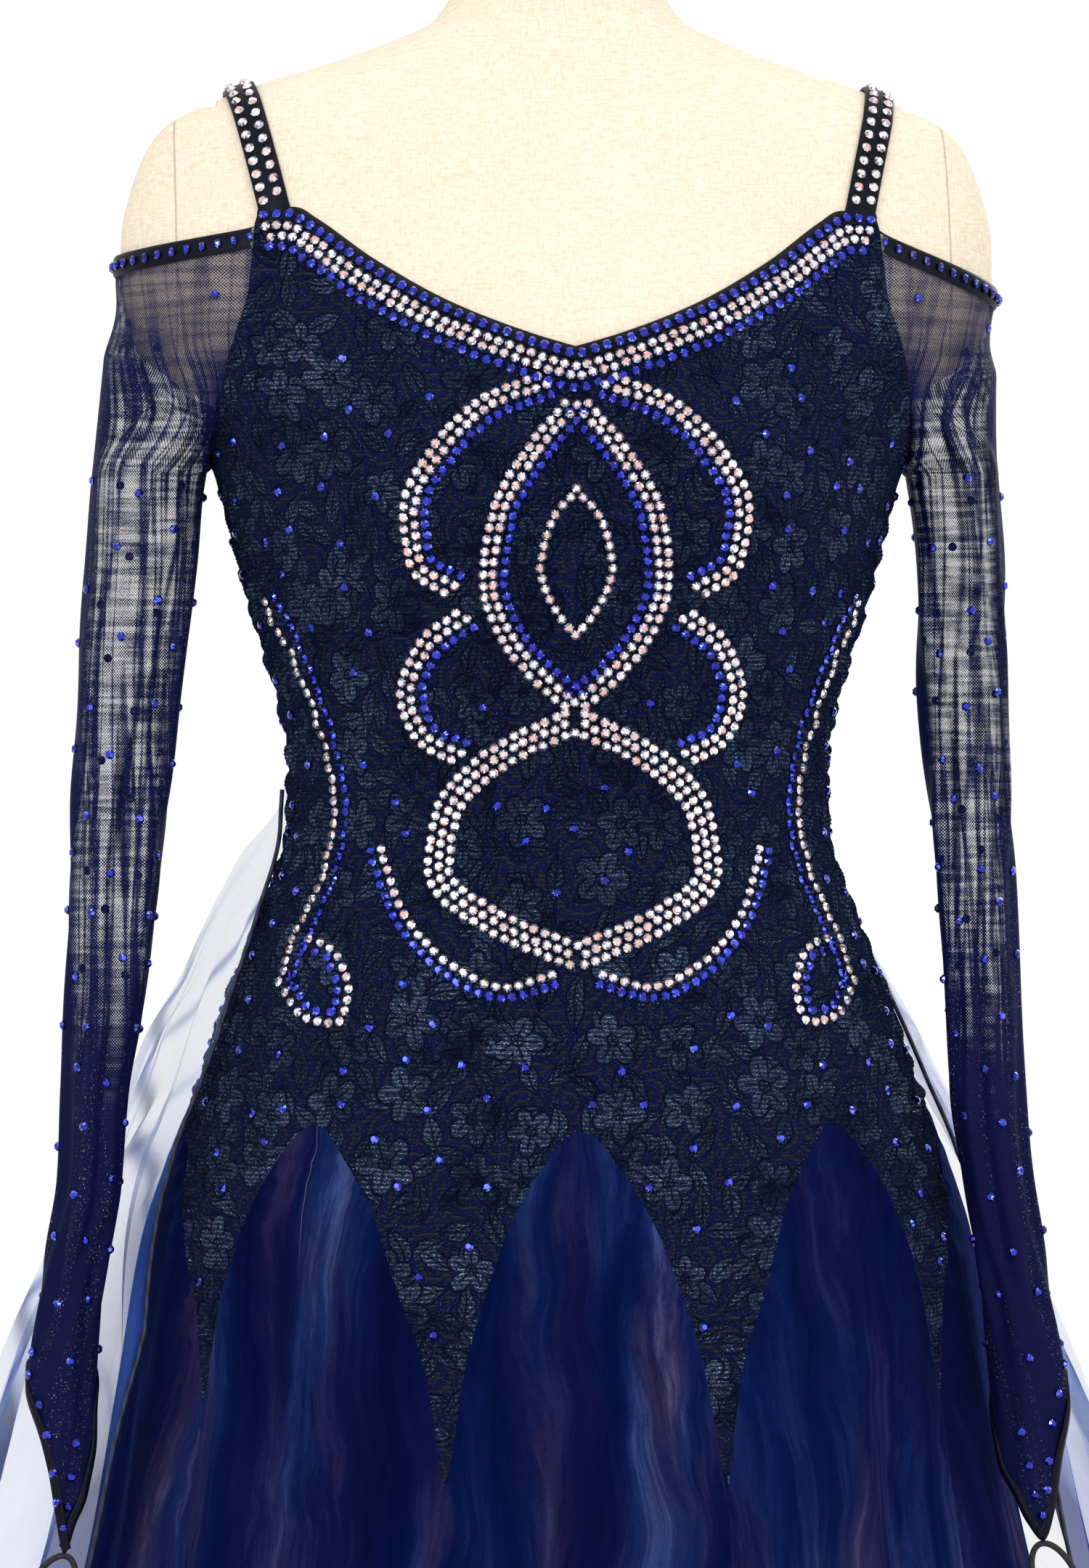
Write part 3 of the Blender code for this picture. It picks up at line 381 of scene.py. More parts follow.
def lace_edge(angle):
    """The height of the lace's zigzag edge at an angle."""
    angle = np.abs((np.asarray(angle, float) + 180.0) % 360.0 - 180.0)
    height = np.zeros_like(angle)
    for (start, start_height), (end, end_height) in zip(ZIGZAG, ZIGZAG[1:]):
        top, top_height, point, point_height = start, start_height, end, end_height
        if end_height > start_height:
            top, top_height, point, point_height = end, end_height, start, start_height
        share = np.clip((angle - top) / (point - top), 0, 1)
        inside = (angle >= start) & (angle <= end)
        height = np.where(inside, lerp(top_height, point_height, arch_drop(share)), height)
    return height


def neck_height(share, neckline):
    """The neckline's height along each column of a panel, from its share of the armhole's angle."""
    level = smooth_curve(*zip(*neckline))
    height = np.full_like(share, 1.33)
    for _ in range(20):
        across = half_width_at(height) * np.abs(np.sin(np.radians(share * NECK_CORNER)))
        height = lerp(height, level(across), 0.7)
    return height


# Where the middles of the front and back panels lie across the lace, and their cuts: widest width,
# length and area in square metres
LACE_FRONT, LACE_BACK = 0.4, 1.3
LACE_CUTS = {"front": (0.46, 0.66, 0.192), "back": (0.46, 0.66, 0.194)}


def motif_cells(tree, cloth, spacing, scatter):
    """Scattered motifs: each place's offset from its motif's centre, turned at random, and two chance
    values."""
    cells = node(
        tree, "TexVoronoi", Vector=cloth, Scale=1 / spacing, Randomness=scatter, voronoi_dimensions="2D"
    )
    away = node(tree, "VectorMath SUBTRACT", cloth, cells.outputs["Position"])
    chance = node(tree, "SeparateXYZ", cells.outputs["Color"])
    angle = node(tree, "Math MULTIPLY", chance.outputs[0], 2 * math.pi)
    turned = node(tree, "VectorRotate", Vector=away, Angle=angle, rotation_type="Z_AXIS")
    local = node(tree, "SeparateXYZ", turned)
    return local.outputs[0], local.outputs[1], chance.outputs[1], chance.outputs[2]


def leaf_motif(tree, cloth, spacing, long, wide):
    """The signed distance to curved pointed leaves, with a midrib and side veins left open."""
    along, across, bend, _ = motif_cells(tree, cloth, spacing, 0.85)
    curve = node(
        tree, "Math MULTIPLY", node(tree, "MapRange", bend, 0.0, 1.0, -22.0, 22.0),
        node(tree, "Math MULTIPLY", along, along),
    )
    across = node(tree, "Math ABSOLUTE", node(tree, "Math ADD", across, curve))
    reach = node(
        tree, "Math MINIMUM", node(tree, "Math ABSOLUTE", node(tree, "Math DIVIDE", along, long / 2)), 1.0
    )
    edge = node(
        tree, "Math MULTIPLY", node(tree, "Math SUBTRACT", 1.0, node(tree, "Math POWER", reach, 1.7)),
        wide / 2,
    )
    shape = node(tree, "Math SUBTRACT", across, edge)
    past = node(tree, "Math SUBTRACT", node(tree, "Math ABSOLUTE", along), long / 2)
    shape = node(tree, "Math MAXIMUM", shape, past)
    rib = node(tree, "Math SUBTRACT", 0.00045, across)
    slant = node(tree, "Math SUBTRACT", along, node(tree, "Math MULTIPLY", across, 1.3))
    vein = node(
        tree, "Math SUBTRACT", 0.00030,
        node(tree, "Math ABSOLUTE", node(tree, "Math PINGPONG", slant, 0.0017)),
    )
    return node(tree, "Math MAXIMUM", node(tree, "Math MAXIMUM", shape, rib), vein)


def flower_motif(tree, cloth, spacing, size):
    """The signed distance to flowers of five notched petals round an open heart."""
    x, y, chance, _ = motif_cells(tree, cloth, spacing, 0.60)
    reach = node(
        tree, "Math SQRT",
        node(tree, "Math ADD", node(tree, "Math MULTIPLY", x, x), node(tree, "Math MULTIPLY", y, y)),
    )
    turn = node(tree, "Math MULTIPLY", node(tree, "Math ARCTAN2", y, x), 2.5)
    lobe = node(tree, "Math POWER", node(tree, "Math ABSOLUTE", node(tree, "Math COSINE", turn)), 0.55)
    large = node(tree, "MapRange", chance, 0.0, 1.0, size * 0.38, size * 0.54)
    edge = node(tree, "Math MULTIPLY", large, node(tree, "Math MULTIPLY_ADD", lobe, 0.78, 0.22))
    shape = node(tree, "Math MULTIPLY", node(tree, "Math SUBTRACT", reach, edge), 0.7)
    rib = node(
        tree, "Math MULTIPLY", node(tree, "Math ABSOLUTE", node(tree, "Math SINE", turn)),
        node(tree, "Math MULTIPLY", reach, 0.42),
    )
    rib = node(tree, "Math MAXIMUM", node(tree, "Math SUBTRACT", 0.0004, rib), -0.002)
    rib = node(
        tree, "Math MINIMUM", rib,
        node(tree, "Math SUBTRACT", node(tree, "Math MULTIPLY", edge, 0.75), reach),
    )
    heart = node(
        tree, "Math ABSOLUTE",
        node(tree, "Math SUBTRACT", reach, node(tree, "Math MULTIPLY", large, 0.20)),
    )
    heart = node(tree, "Math SUBTRACT", 0.0005, heart)
    return node(tree, "Math MAXIMUM", node(tree, "Math MAXIMUM", shape, rib), heart)


def scroll_motif(tree, cloth, spacing, pitch):
    """The distance to spiral cords that wind out from scattered centres."""
    x, y, chance, _ = motif_cells(tree, cloth, spacing, 0.9)
    reach = node(
        tree, "Math SQRT",
        node(tree, "Math ADD", node(tree, "Math MULTIPLY", x, x), node(tree, "Math MULTIPLY", y, y)),
    )
    way = node(
        tree, "Math SUBTRACT",
        node(tree, "Math MULTIPLY", node(tree, "Math GREATER_THAN", chance, 0.5), 2.0), 1.0,
    )
    turn = node(tree, "Math MULTIPLY", node(tree, "Math ARCTAN2", y, x), way)
    wound = node(tree, "Math MULTIPLY_ADD", turn, 0.5 / math.pi, node(tree, "Math DIVIDE", reach, pitch))
    off = node(tree, "Math MULTIPLY", node(tree, "Math PINGPONG", wound, 0.5), pitch)
    return node(tree, "Math SUBTRACT", off, 0.0010)


def lace_material():
    """Jacquard stretch lace: a velvety dark ground with corded scrolls, and flowers and leaves woven
    level in slate-blue thread with flecks of metallic yarn. Painted into its colour are patches of sheen
    on the thread, pale glints in the ground and a dark shade round each motif."""
    material, tree, shader = new_material("navy_stretch_lace")
    cloth = node(tree, "TexCoord").outputs["UV"]
    wander = node(tree, "TexNoise", Vector=cloth, Scale=38.0, Detail=2.0).outputs["Color"]
    pulled = node(tree, "VectorMath MULTIPLY", wander, (0.006, 0.006, 0))
    drawn = node(tree, "VectorMath ADD", cloth, pulled)
    # Motifs: flowers 21 to 29 mm across, leaves 19 mm long and scrolls of 2 mm cord
    flower = flower_motif(tree, drawn, 0.034, 0.027)
    shifted = node(tree, "VectorMath ADD", drawn, (0.37, 0.21, 0))
    leaf = leaf_motif(tree, shifted, 0.0145, 0.0190, 0.0078)
    moved = node(tree, "VectorMath ADD", drawn, (0.83, 0.59, 0))
    scroll = scroll_motif(tree, moved, 0.024, 0.0052)
    # Distances are in metres. A flower pushes the leaves 1.2 mm away from its edge
    leaf = node(tree, "Math MAXIMUM", leaf, node(tree, "Math SUBTRACT", 0.0012, flower))
    motif = node(tree, "Math MINIMUM", flower, leaf)
    filled = node(tree, "MapRange", motif, 0.0003, -0.0002)
    corded = node(
        tree, "Math MULTIPLY", node(tree, "MapRange", scroll, 0.0003, -0.0003),
        node(tree, "MapRange", motif, 0.0009, 0.0014),
    )
    # Painted shade: a dark rim in the ground just outside each motif's raised edge
    rim = node(tree, "MapRange", motif, 0.0012, 0.0002)
    # Level threads, drawn 2.1 mm apart so that they show, which is coarser than the real ones
    thread = node(tree, "TexWave", drawn, 152.0, 0.9, bands_direction="Y")
    flat = node(tree, "Mapping", Vector=drawn, Scale=(1000, 2400, 1))
    yarn = node(tree, "TexNoise", Vector=flat, Scale=1.0, Detail=2.0, Roughness=0.6)
    # Painted sheen: big soft patches decide how lit each motif's thread looks
    patch = node(tree, "TexNoise", Vector=cloth, Scale=30.0, Detail=4.0, Roughness=0.65)
    shine = node(tree, "MapRange", patch, 0.36, 0.64, 0.05, 1.0)
    # The painted sheen is weakest in the stretched middle of the chest, so its motifs show least there
    where = node(tree, "SeparateXYZ", cloth)
    aside = node(tree, "Math ABSOLUTE", node(tree, "Math SUBTRACT", where.outputs[0], LACE_FRONT))
    aside = node(tree, "MapRange", aside, 0.03, 0.12, 0.35, 1.0)
    plain = node(
        tree, "Math MAXIMUM", aside, node(tree, "MapRange", where.outputs[1], 1.12, 0.96, 0.35, 1.0)
    )
    shine = node(tree, "Math MULTIPLY", shine, plain)
    hatch = node(
        tree, "Math MULTIPLY", node(tree, "Math MULTIPLY_ADD", thread, 0.55, 0.45),
        node(tree, "MapRange", yarn, 0.34, 0.60, 0.5, 1.15),
    )
    # Painted sheen on the motifs: the slate-blue thread is paler where the painted sheen falls
    lit = node(tree, "Math MULTIPLY", hatch, shine)
    bright = node(
        tree, "Math MULTIPLY", node(tree, "MapRange", yarn, 0.57, 0.64),
        node(tree, "Math MULTIPLY", thread, shine),
    )
    # The ground's yarn varies at random in tone, and its palest flecks are painted glints
    ground = node(
        tree, "ValToRGB", yarn,
        stops=[(0.30, "#060a20"), (0.52, "#0c1130"), (0.66, "#1b2245"), (0.73, "#7682a4")],
    )
    weave = node(tree, "ValToRGB", lit, stops=[(0.0, "#0a0f22"), (0.40, "#172238"), (1.0, "#3a4d68")])
    weave = node(
        tree, "Mix", sockets={0: bright, 6: weave, 7: linear("#b9c8de")}, data_type="RGBA"
    ).outputs[2]
    # The painted rim shade darkens the ground to near black round each motif
    ground = node(
        tree, "Mix", sockets={0: rim, 6: ground, 7: linear("#050719")}, data_type="RGBA"
    ).outputs[2]
    cord = node(tree, "ValToRGB", thread, stops=[(0.0, "#12151f"), (1.0, "#232834")])
    colour = node(tree, "Mix", sockets={0: corded, 6: ground, 7: cord}, data_type="RGBA").outputs[2]
    colour = node(tree, "Mix", sockets={0: filled, 6: colour, 7: weave}, data_type="RGBA").outputs[2]
    metal = node(tree, "Math MULTIPLY", bright, filled)
    raised = node(tree, "Math MULTIPLY_ADD", corded, 0.6, node(tree, "MapRange", motif, 0.0006, -0.0006))
    relief = node(tree, "Math MULTIPLY_ADD", lit, 0.25, raised)
    relief = node(tree, "Math MULTIPLY_ADD", yarn, 0.25, relief)
    bump = node(tree, "Bump", Strength=1.0, Distance=0.0018, Height=relief)
    rough = node(tree, "MapRange", metal, 0.0, 1.0, 0.62, 0.30)
    connect(
        shader,
        {
            "Base Color": colour, "Metallic": metal, "Roughness": rough, "Normal": bump,
            "Specular IOR Level": 0.0, "Sheen Weight": 0.10, "Sheen Tint": linear("#5a74b4"),
        },
    )
    return material


def gathers(angle, height):
    """The small slanting tucks that the stretched lace makes beside its seams at waist and hip."""
    side = np.abs((angle % 180.0) - 90.0)
    near = np.exp(-((side / 34.0) ** 2)) * ease((height - 0.80) / 0.1) * ease((1.24 - height) / 0.05)
    slant = height + 0.0011 * side + 0.004 * np.sin(side / 7.0 + height * 30)
    tuck = np.sin(slant * 2 * math.pi / 0.0175 + 1.7 * np.sin(height * 47)) ** 3
    fine = np.sin(slant * 2 * math.pi / 0.0072 + side * 0.21 + 2.0 * np.sin(height * 29))
    long = np.sin(angle * 0.55 + height * 13.0) * np.sin(height * 31.0 + angle * 0.13)
    return near * (0.0015 * tuck + 0.0006 * fine + 0.0008 * long)


def level_arc(angle, height, middle):
    """How far round the body places lie from a panel's middle, measured level."""
    levels, turns = np.linspace(0.70, 1.36, 67), np.linspace(0, 90, 46)
    ring = body_point(middle + turns[None], levels[:, None])
    steps = np.linalg.norm(np.diff(ring, axis=1), axis=-1)
    table = np.hstack([np.zeros((len(levels), 1)), np.cumsum(steps, axis=1)])
    row = np.clip((height - 0.70) / 0.01, 0, 65.999)
    column = np.clip(np.abs(angle - middle) / 2.0, 0, 44.999)
    i, j = row.astype(int), column.astype(int)
    low = lerp(table[i, j], table[i, j + 1], column - j)
    high = lerp(table[i + 1, j], table[i + 1, j + 1], column - j)
    return np.sign(angle - middle) * lerp(low, high, row - i)


def lace_panel(neckline, facing_back):
    """The grid of a lace panel: its angles and heights from the neckline to the zigzag edge."""
    middle = 180.0 if facing_back else 0.0
    # Columns lie 0.8 degrees apart, close enough for the lace points to be sharp
    spaced = np.linspace(-90, 90, 221)
    share = spaced / 90.0
    neck = neck_height(share, neckline)
    angles, heights = [], []
    for level in np.linspace(ARMHOLE_TOP, UNDERARM, 60):
        angles.append(middle + share * armhole_angle(level))
        heights.append(lerp(neck, UNDERARM, (ARMHOLE_TOP - level) / (ARMHOLE_TOP - UNDERARM)))
    for level in np.linspace(UNDERARM - 0.002, HIP, 160):
        angles.append(middle + spaced)
        heights.append(np.full_like(spaced, level))
    edge = lace_edge(middle + spaced)
    for down in np.linspace(0, 1, 81)[1:]:
        angles.append(middle + spaced)
        heights.append(lerp(HIP, edge, down))
    return np.array(angles), np.array(heights)


lace = lace_material()
for side, neckline, facing_back in (("front", FRONT_NECKLINE, False), ("back", BACK_NECKLINE, True)):
    angles, heights = lace_panel(neckline, facing_back)
    points = body_point(angles, heights, gathers(angles, heights))
    middle = 180.0 if facing_back else 0.0
    turned = np.radians(angles - middle) * 0.165
    across = lerp(level_arc(angles, heights, middle), turned, 0.25)
    uv = np.stack([across + (LACE_BACK if facing_back else LACE_FRONT), heights], axis=-1)
    mesh = grid_mesh(f"lace_{side}", points, uv)
    panel = add_piece(f"lace_bodice_{side}", mesh, lace, [f"bodice_{side}"])
    width, length, area = LACE_CUTS[side]


# Neck bindings: bias strips of dark stretch satin. Each is folded over the neck's edge, front and
# back, and stitched down along its lower side.
def satin_material():
    """Stretch satin: almost black navy, with a soft low gloss across its warp."""
    material, tree, shader = new_material("dark_stretch_satin")
    place = node(tree, "TexCoord").outputs["Object"]
    warp = node(tree, "Mapping", Vector=place, Scale=(900, 900, 250))
    threads = node(tree, "TexNoise", Vector=warp, Scale=1.0, Detail=2.0)
    bump = node(tree, "Bump", Strength=0.25, Distance=0.0004, Height=threads)
    colour = node(tree, "ValToRGB", threads, stops=[(0.3, "#04050f"), (0.7, "#090c1d")])
    connect(shader, {"Base Color": colour, "Normal": bump, "Roughness": 0.42, "Specular IOR Level": 0.10})
    return material


satin = satin_material()
BINDING_WIDTH = 0.0062
# Across the strip: share of its width, and how far it stands out, with a stitched dip near its edge
BINDING_SECTION = (
    (-0.02, -0.0014), (-0.04, 0.0004), (0.10, 0.0011), (0.45, 0.0013), (0.76, 0.0007), (0.86, 0.0011),
    (1.0, 0.0002),
)
for side, neckline, facing_back in (("front", FRONT_NECKLINE, False), ("back", BACK_NECKLINE, True)):
    middle = 180.0 if facing_back else 0.0
    share = np.linspace(-1, 1, 181)
    angle = middle + share * NECK_CORNER
    top = neck_height(share, neckline)
    lean = np.gradient(top, body_point(angle, top)[:, 0] * (-1 if facing_back else 1))
    drop = BINDING_WIDTH * np.hypot(1, np.clip(lean, -2, 2))
    rows = [body_point(angle, top - drop * down, out) for down, out in BINDING_SECTION]
    mesh = grid_mesh(f"neck_strip_{side}", np.array(rows))
    strip = add_piece(f"satin_neck_binding_{side}", mesh, satin, [f"neck_binding_{side}"])


# Straps: flat satin straps over elastic. They are sewn in behind the neck binding at the corners of the
# bodice, front and back, and lie stretched over the shoulders.
STRAP_WIDTH = 0.0155
# Round the strap: share of its width and height over the linen
STRAP_SECTION = (
    (-0.50, 0.0016), (-0.49, 0.0027), (-0.40, 0.0033), (0.0, 0.0037), (0.40, 0.0033), (0.49, 0.0027),
    (0.50, 0.0016), (0.40, 0.0012), (0.0, 0.0014), (-0.40, 0.0012),
)


def unit(vectors):
    """The vectors at a length of one."""
    return vectors / np.linalg.norm(vectors, axis=-1, keepdims=True)


def shoulder_line(x):
    """The height of the form's shoulder at a distance from the middle."""
    heights = np.linspace(1.36, 1.46, 2000)
    return float(heights[np.nonzero(half_width_at(heights) - FORM_INSET >= x)[0][-1]])


def shoulder_level(point):
    """A measure of depth in the form's shoulder: 1 on its surface, more outside."""
    depth = (back_depth_at if point[1] > 0 else front_depth_at)(point[2]) - FORM_INSET
    return (point[0] / (half_width_at(point[2]) - FORM_INSET)) ** 2 + (point[1] / depth) ** 2


def strap_path(sign):
    """The strap's middle line over the shoulder and the direction it faces, front to back."""
    middle = []
    for place in np.linspace(-1, 1, 81):
        lift = math.sqrt(max(1 - abs(place) ** 2.2, 0.0))
        x = lerp(0.1425, 0.1580, lift)
        height = lerp(1.3600, shoulder_line(x), lift)
        depth = (back_depth_at if place > 0 else front_depth_at)(height) - FORM_INSET
        inside = max(1 - (x / (half_width_at(height) - FORM_INSET)) ** 2, 0.0)
        middle.append((sign * x, math.copysign(1, place) * depth * math.sqrt(inside), height))
    middle = np.array(middle)
    steps = np.eye(3) * 0.002
    slopes = [[shoulder_level(p + s) - shoulder_level(p - s) for s in steps] for p in middle]
    outward = unit(np.array(slopes))
    along = unit(np.gradient(middle, axis=0))
    across = unit(np.cross(along, outward))
    return middle, across, np.cross(across, along)


strap_paths = {side: strap_path(sign) for side, sign in SIDES.items()}
for side, (middle, across, outward) in strap_paths.items():
    # Both ends run on behind the neck binding for 8 mm
    ends = [(middle[0] - middle[1], middle[0], 0), (middle[-1] - middle[-2], middle[-1], -1)]
    tucks = []
    for way, end, place in ends:
        way = way / np.linalg.norm(way) - outward[place] * 0.30
        tucks.append([(end + way * run, across[place], outward[place]) for run in (0.003, 0.008)])
    path = [*tucks[0][::-1], *zip(middle, across, outward), *tucks[1]]
    centre, sideways, facing = (np.array([step[axis] for step in path]) for axis in range(3))
    rows = [centre + sideways * STRAP_WIDTH * share + facing * lift for share, lift in STRAP_SECTION]
    mesh = grid_mesh(f"strap_{side}", np.array(rows), closed=("rows",))
    strap = add_piece(f"satin_strap_{side}", mesh, satin, [f"strap_{side}"])


# Godets: eight gores of navy organza laid over satin, let into the zigzag edge and seamed to each
# other below its points. The organza puckers at its seams, and cloudy streaks of sheen are painted
# into its colour.
def organza_material():
    """Organza over satin: deep navy, with painted sheen in cloudy streaks of blue and violet down its
    folds, and painted highlights along a few sharp creases."""
    material, tree, shader = new_material("navy_organza_over_satin")
    cloth = node(tree, "TexCoord").outputs["UV"]
    # Lengths along the cloth in metres: streaks of painted sheen about 24 mm wide and 220 mm long,
    # wandering sideways
    bend = node(tree, "TexNoise", Vector=cloth, Scale=9.0, Detail=2.0)
    drift = node(tree, "VectorMath MULTIPLY", bend.outputs["Color"], (0.045, 0.0, 0))
    moved = node(tree, "VectorMath ADD", cloth, drift)
    long = node(tree, "Mapping", Vector=moved, Scale=(42, 4.6, 1))
    streak = node(tree, "TexNoise", Vector=long, Scale=1.0, Detail=7.0, Roughness=0.70, Distortion=0.5)
    broad = node(tree, "Mapping", Vector=moved, Scale=(13, 2.6, 1))
    cloud = node(tree, "TexNoise", Vector=broad, Scale=1.0, Detail=3.0)
    hue = node(tree, "TexNoise", Vector=broad, Scale=2.3, Detail=2.0)
    fine = node(tree, "Mapping", Vector=cloth, Scale=(1500, 420, 1))
    weave = node(tree, "TexNoise", Vector=fine, Scale=1.0, Detail=1.0)
    # Painted sheen: streaks times clouds, with a little fine weave, lift the navy towards blue and violet
    painted_sheen_and_weave = node(tree, "Math MULTIPLY_ADD", weave, 0.04, node(tree, "Math MULTIPLY", streak, cloud))
    blue = node(
        tree, "ValToRGB", painted_sheen_and_weave,
        stops=[
            (0.19, "#030c32"), (0.27, "#07133e"), (0.35, "#15234e"), (0.44, "#37487a"), (0.54, "#6b7aa2")
        ],
    )
    violet = node(
        tree, "ValToRGB", painted_sheen_and_weave,
        stops=[
            (0.19, "#050a2c"), (0.27, "#0c0f34"), (0.35, "#25203f"), (0.44, "#4a4259"), (0.54, "#7d748c")
        ],
    )
    which = node(tree, "MapRange", hue, 0.40, 0.62)
    colour = node(tree, "Mix", sockets={0: which, 6: blue, 7: violet}, data_type="RGBA").outputs[2]
    # Painted highlights: fine pale lines along creases where the cloth has been folded, in the brighter
    # clouds
    sharp = node(tree, "Mapping", Vector=moved, Scale=(24, 2.2, 1))
    sharp = node(tree, "TexNoise", Vector=sharp, Scale=1.0, Detail=0.0)
    crease = node(
        tree, "MapRange", node(tree, "Math ABSOLUTE", node(tree, "Math SUBTRACT", sharp, 0.5)), 0.0006,
        0.0028, 0.6, 0.0,
    )
    crease = node(tree, "Math MULTIPLY", crease, node(tree, "MapRange", cloud, 0.58, 0.68))
    colour = node(
        tree, "Mix", sockets={0: crease, 6: colour, 7: linear("#8f8098")}, data_type="RGBA"
    ).outputs[2]
    bump = node(tree, "Bump", Strength=0.5, Distance=0.002, Height=streak)
    grain = node(tree, "Bump", Strength=0.15, Distance=0.0003, Height=weave, Normal=bump)
    rough = node(tree, "MapRange", streak, 0.35, 0.65, 0.44, 0.30)
    connect(
        shader,
        {
            "Base Color": colour, "Roughness": rough, "Normal": grain, "Specular IOR Level": 0.0,
            "Sheen Weight": 0.22, "Sheen Roughness": 0.35, "Sheen Tint": linear("#5069b8"),
        },
    )
    return material


def seam_pucker(across, height, width):
    """Small tucks that run into the cloth from both seams of a godet, deepest at the stitching."""
    from_seam = np.minimum(across, 1 - across) * width
    depth = np.exp(-from_seam / 0.012) * ease(from_seam / 0.005) * ease((0.93 - height) / 0.03)
    left = across < 0.5
    slow = np.sin(height * 41 + np.where(left, 0.4, 2.1)) * 1.9
    wander = slow + np.sin(height * 97 + np.where(left, 1.3, 0.2))
    return depth * 0.0021 * np.sin(height * 2 * math.pi / 0.0135 + wander + from_seam * 160)


def row_widths(points):
    """The length of each row of a grid, measured along the cloth."""
    return np.linalg.norm(np.diff(points, axis=1), axis=-1).sum(axis=1)[:, None]


def drape(angle, height):
    """Lesser creases between the big folds, wandering as they fall."""
    reach = ease((0.90 - height) / 0.30)
    lean = angle + 7.0 * np.sin(height * 6.0 + angle * 0.05)
    soft = np.sin(np.radians(lean * 23.0)) * 0.6 + np.sin(np.radians(lean * 41.0 + height * 300)) * 0.4
    return reach * 0.0016 * soft


organza = organza_material()
HEM = 0.050
all_round = [(-angle, height) for angle, height in ZIGZAG[:0:-1]] + list(ZIGZAG)
all_round += [(360 - angle, height) for angle, height in ZIGZAG[-2::-1]]
godet_tops = [row for row in all_round if row[1] > 0.85 and -1e-6 <= row[0] < 359.99]
lace_points = [row for row in all_round if row[1] < 0.85]
ARCH_SHARES = np.concatenate([np.linspace(0.012, 0.30, 12), np.linspace(0.33, 1.0, 34)])
# Cut of each godet, apex to hem: widest width, length and area in square metres
GODET_CUTS = {
    1: (0.34, 0.90, 0.215), 2: (0.34, 0.91, 0.225), 3: (0.50, 0.92, 0.330), 4: (0.36, 0.91, 0.235),
    5: (0.34, 0.90, 0.220),
}
for number, top in enumerate(godet_tops, start=1):
    left = max((row for row in lace_points if row[0] < top[0]), key=lambda row: row[0])
    right = min((row for row in lace_points if row[0] > top[0]), key=lambda row: row[0])
    # The two outermost columns are the seam allowance, tucked in under the lace
    across = np.concatenate([[-0.012], np.linspace(0, 1, 73), [1.012]])
    angles, heights = [], []
    for share in ARCH_SHARES:
        drop = float(arch_drop(share))
        angles.append(lerp(lerp(top[0], left[0], share), lerp(top[0], right[0], share), across))
        heights.append(lerp(lerp(top[1], left[1], drop), lerp(top[1], right[1], drop), across))
    for down in np.linspace(0, 1, 80)[1:]:
        angles.append(lerp(left[0], right[0], across))
        heights.append(lerp(lerp(left[1], right[1], across), HEM, down))
    angles, heights = np.array(angles), np.array(heights)
    lap = np.minimum(across, 1 - across) < 0
    flat = body_point(angles, heights)
    width = row_widths(flat)
    middle = np.sin(np.clip(across, 0, 1) * math.pi) ** 0.5
    out = seam_pucker(np.clip(across, 0, 1)[None], heights, width) + drape(angles, heights) * middle
    out = out - np.where(lap, 0.0016, 0.0)
    uv = np.stack([(across[None] - 0.5) * width + number * 0.37, heights], axis=-1)
    mesh = grid_mesh(f"godet_{number}", body_point(angles, heights, out), uv)
    gore = add_piece(f"organza_godet_{number}", mesh, organza, [f"godet_{number}"])
    width, length, area = GODET_CUTS[min(number, 10 - number)]


# Sleeves: tubes of navy stretch mesh set into the armholes below a satin band that leaves the top
# of the shoulder bare. They hang empty, in long soft folds, to a pointed cuff.
SLEEVES = {
    "left": np.array(
        [
            (1.3405, -0.1560, 0.000, 0.0640, 0.064), (1.2365, -0.2018, 0.000, 0.0286, 0.042),
            (1.190, -0.2057, -0.010, 0.0279, 0.039), (1.146, -0.2104, -0.020, 0.0270, 0.036),
            (1.081, -0.2155, -0.033, 0.0243, 0.031), (1.038, -0.2190, -0.041, 0.0230, 0.028),
            (0.974, -0.2240, -0.051, 0.0196, 0.024), (0.932, -0.2286, -0.058, 0.0164, 0.022),
            (0.890, -0.2310, -0.065, 0.0157, 0.020), (0.849, -0.2385, -0.070, 0.0155, 0.019),
            (0.790, -0.2455, -0.075, 0.0170, 0.018), (0.700, -0.2440, -0.078, 0.0165, 0.018),
        ]
    ),
    "right": np.array(
        [
            (1.3405, 0.1560, 0.000, 0.0640, 0.064), (1.2365, 0.1964, 0.000, 0.0230, 0.040),
            (1.190, 0.1990, -0.010, 0.0220, 0.037), (1.146, 0.1985, -0.020, 0.0221, 0.034),
            (1.081, 0.2000, -0.033, 0.0207, 0.030), (1.038, 0.2017, -0.041, 0.0196, 0.028),
            (0.974, 0.2040, -0.051, 0.0187, 0.024), (0.932, 0.2050, -0.058, 0.0186, 0.022),
            (0.890, 0.2095, -0.065, 0.0172, 0.020), (0.849, 0.2150, -0.070, 0.0171, 0.019),
            (0.785, 0.2240, -0.075, 0.0190, 0.018), (0.700, 0.2280, -0.078, 0.0185, 0.018),
        ]
    ),
}
SLEEVE_TOP, CUFF_START = 1.3405, 0.849
SLEEVE_TOP_DROP = {"left": 0.010, "right": 0.024}
SLEEVE_FOLD_START = {"left": 0.3, "right": 1.4}
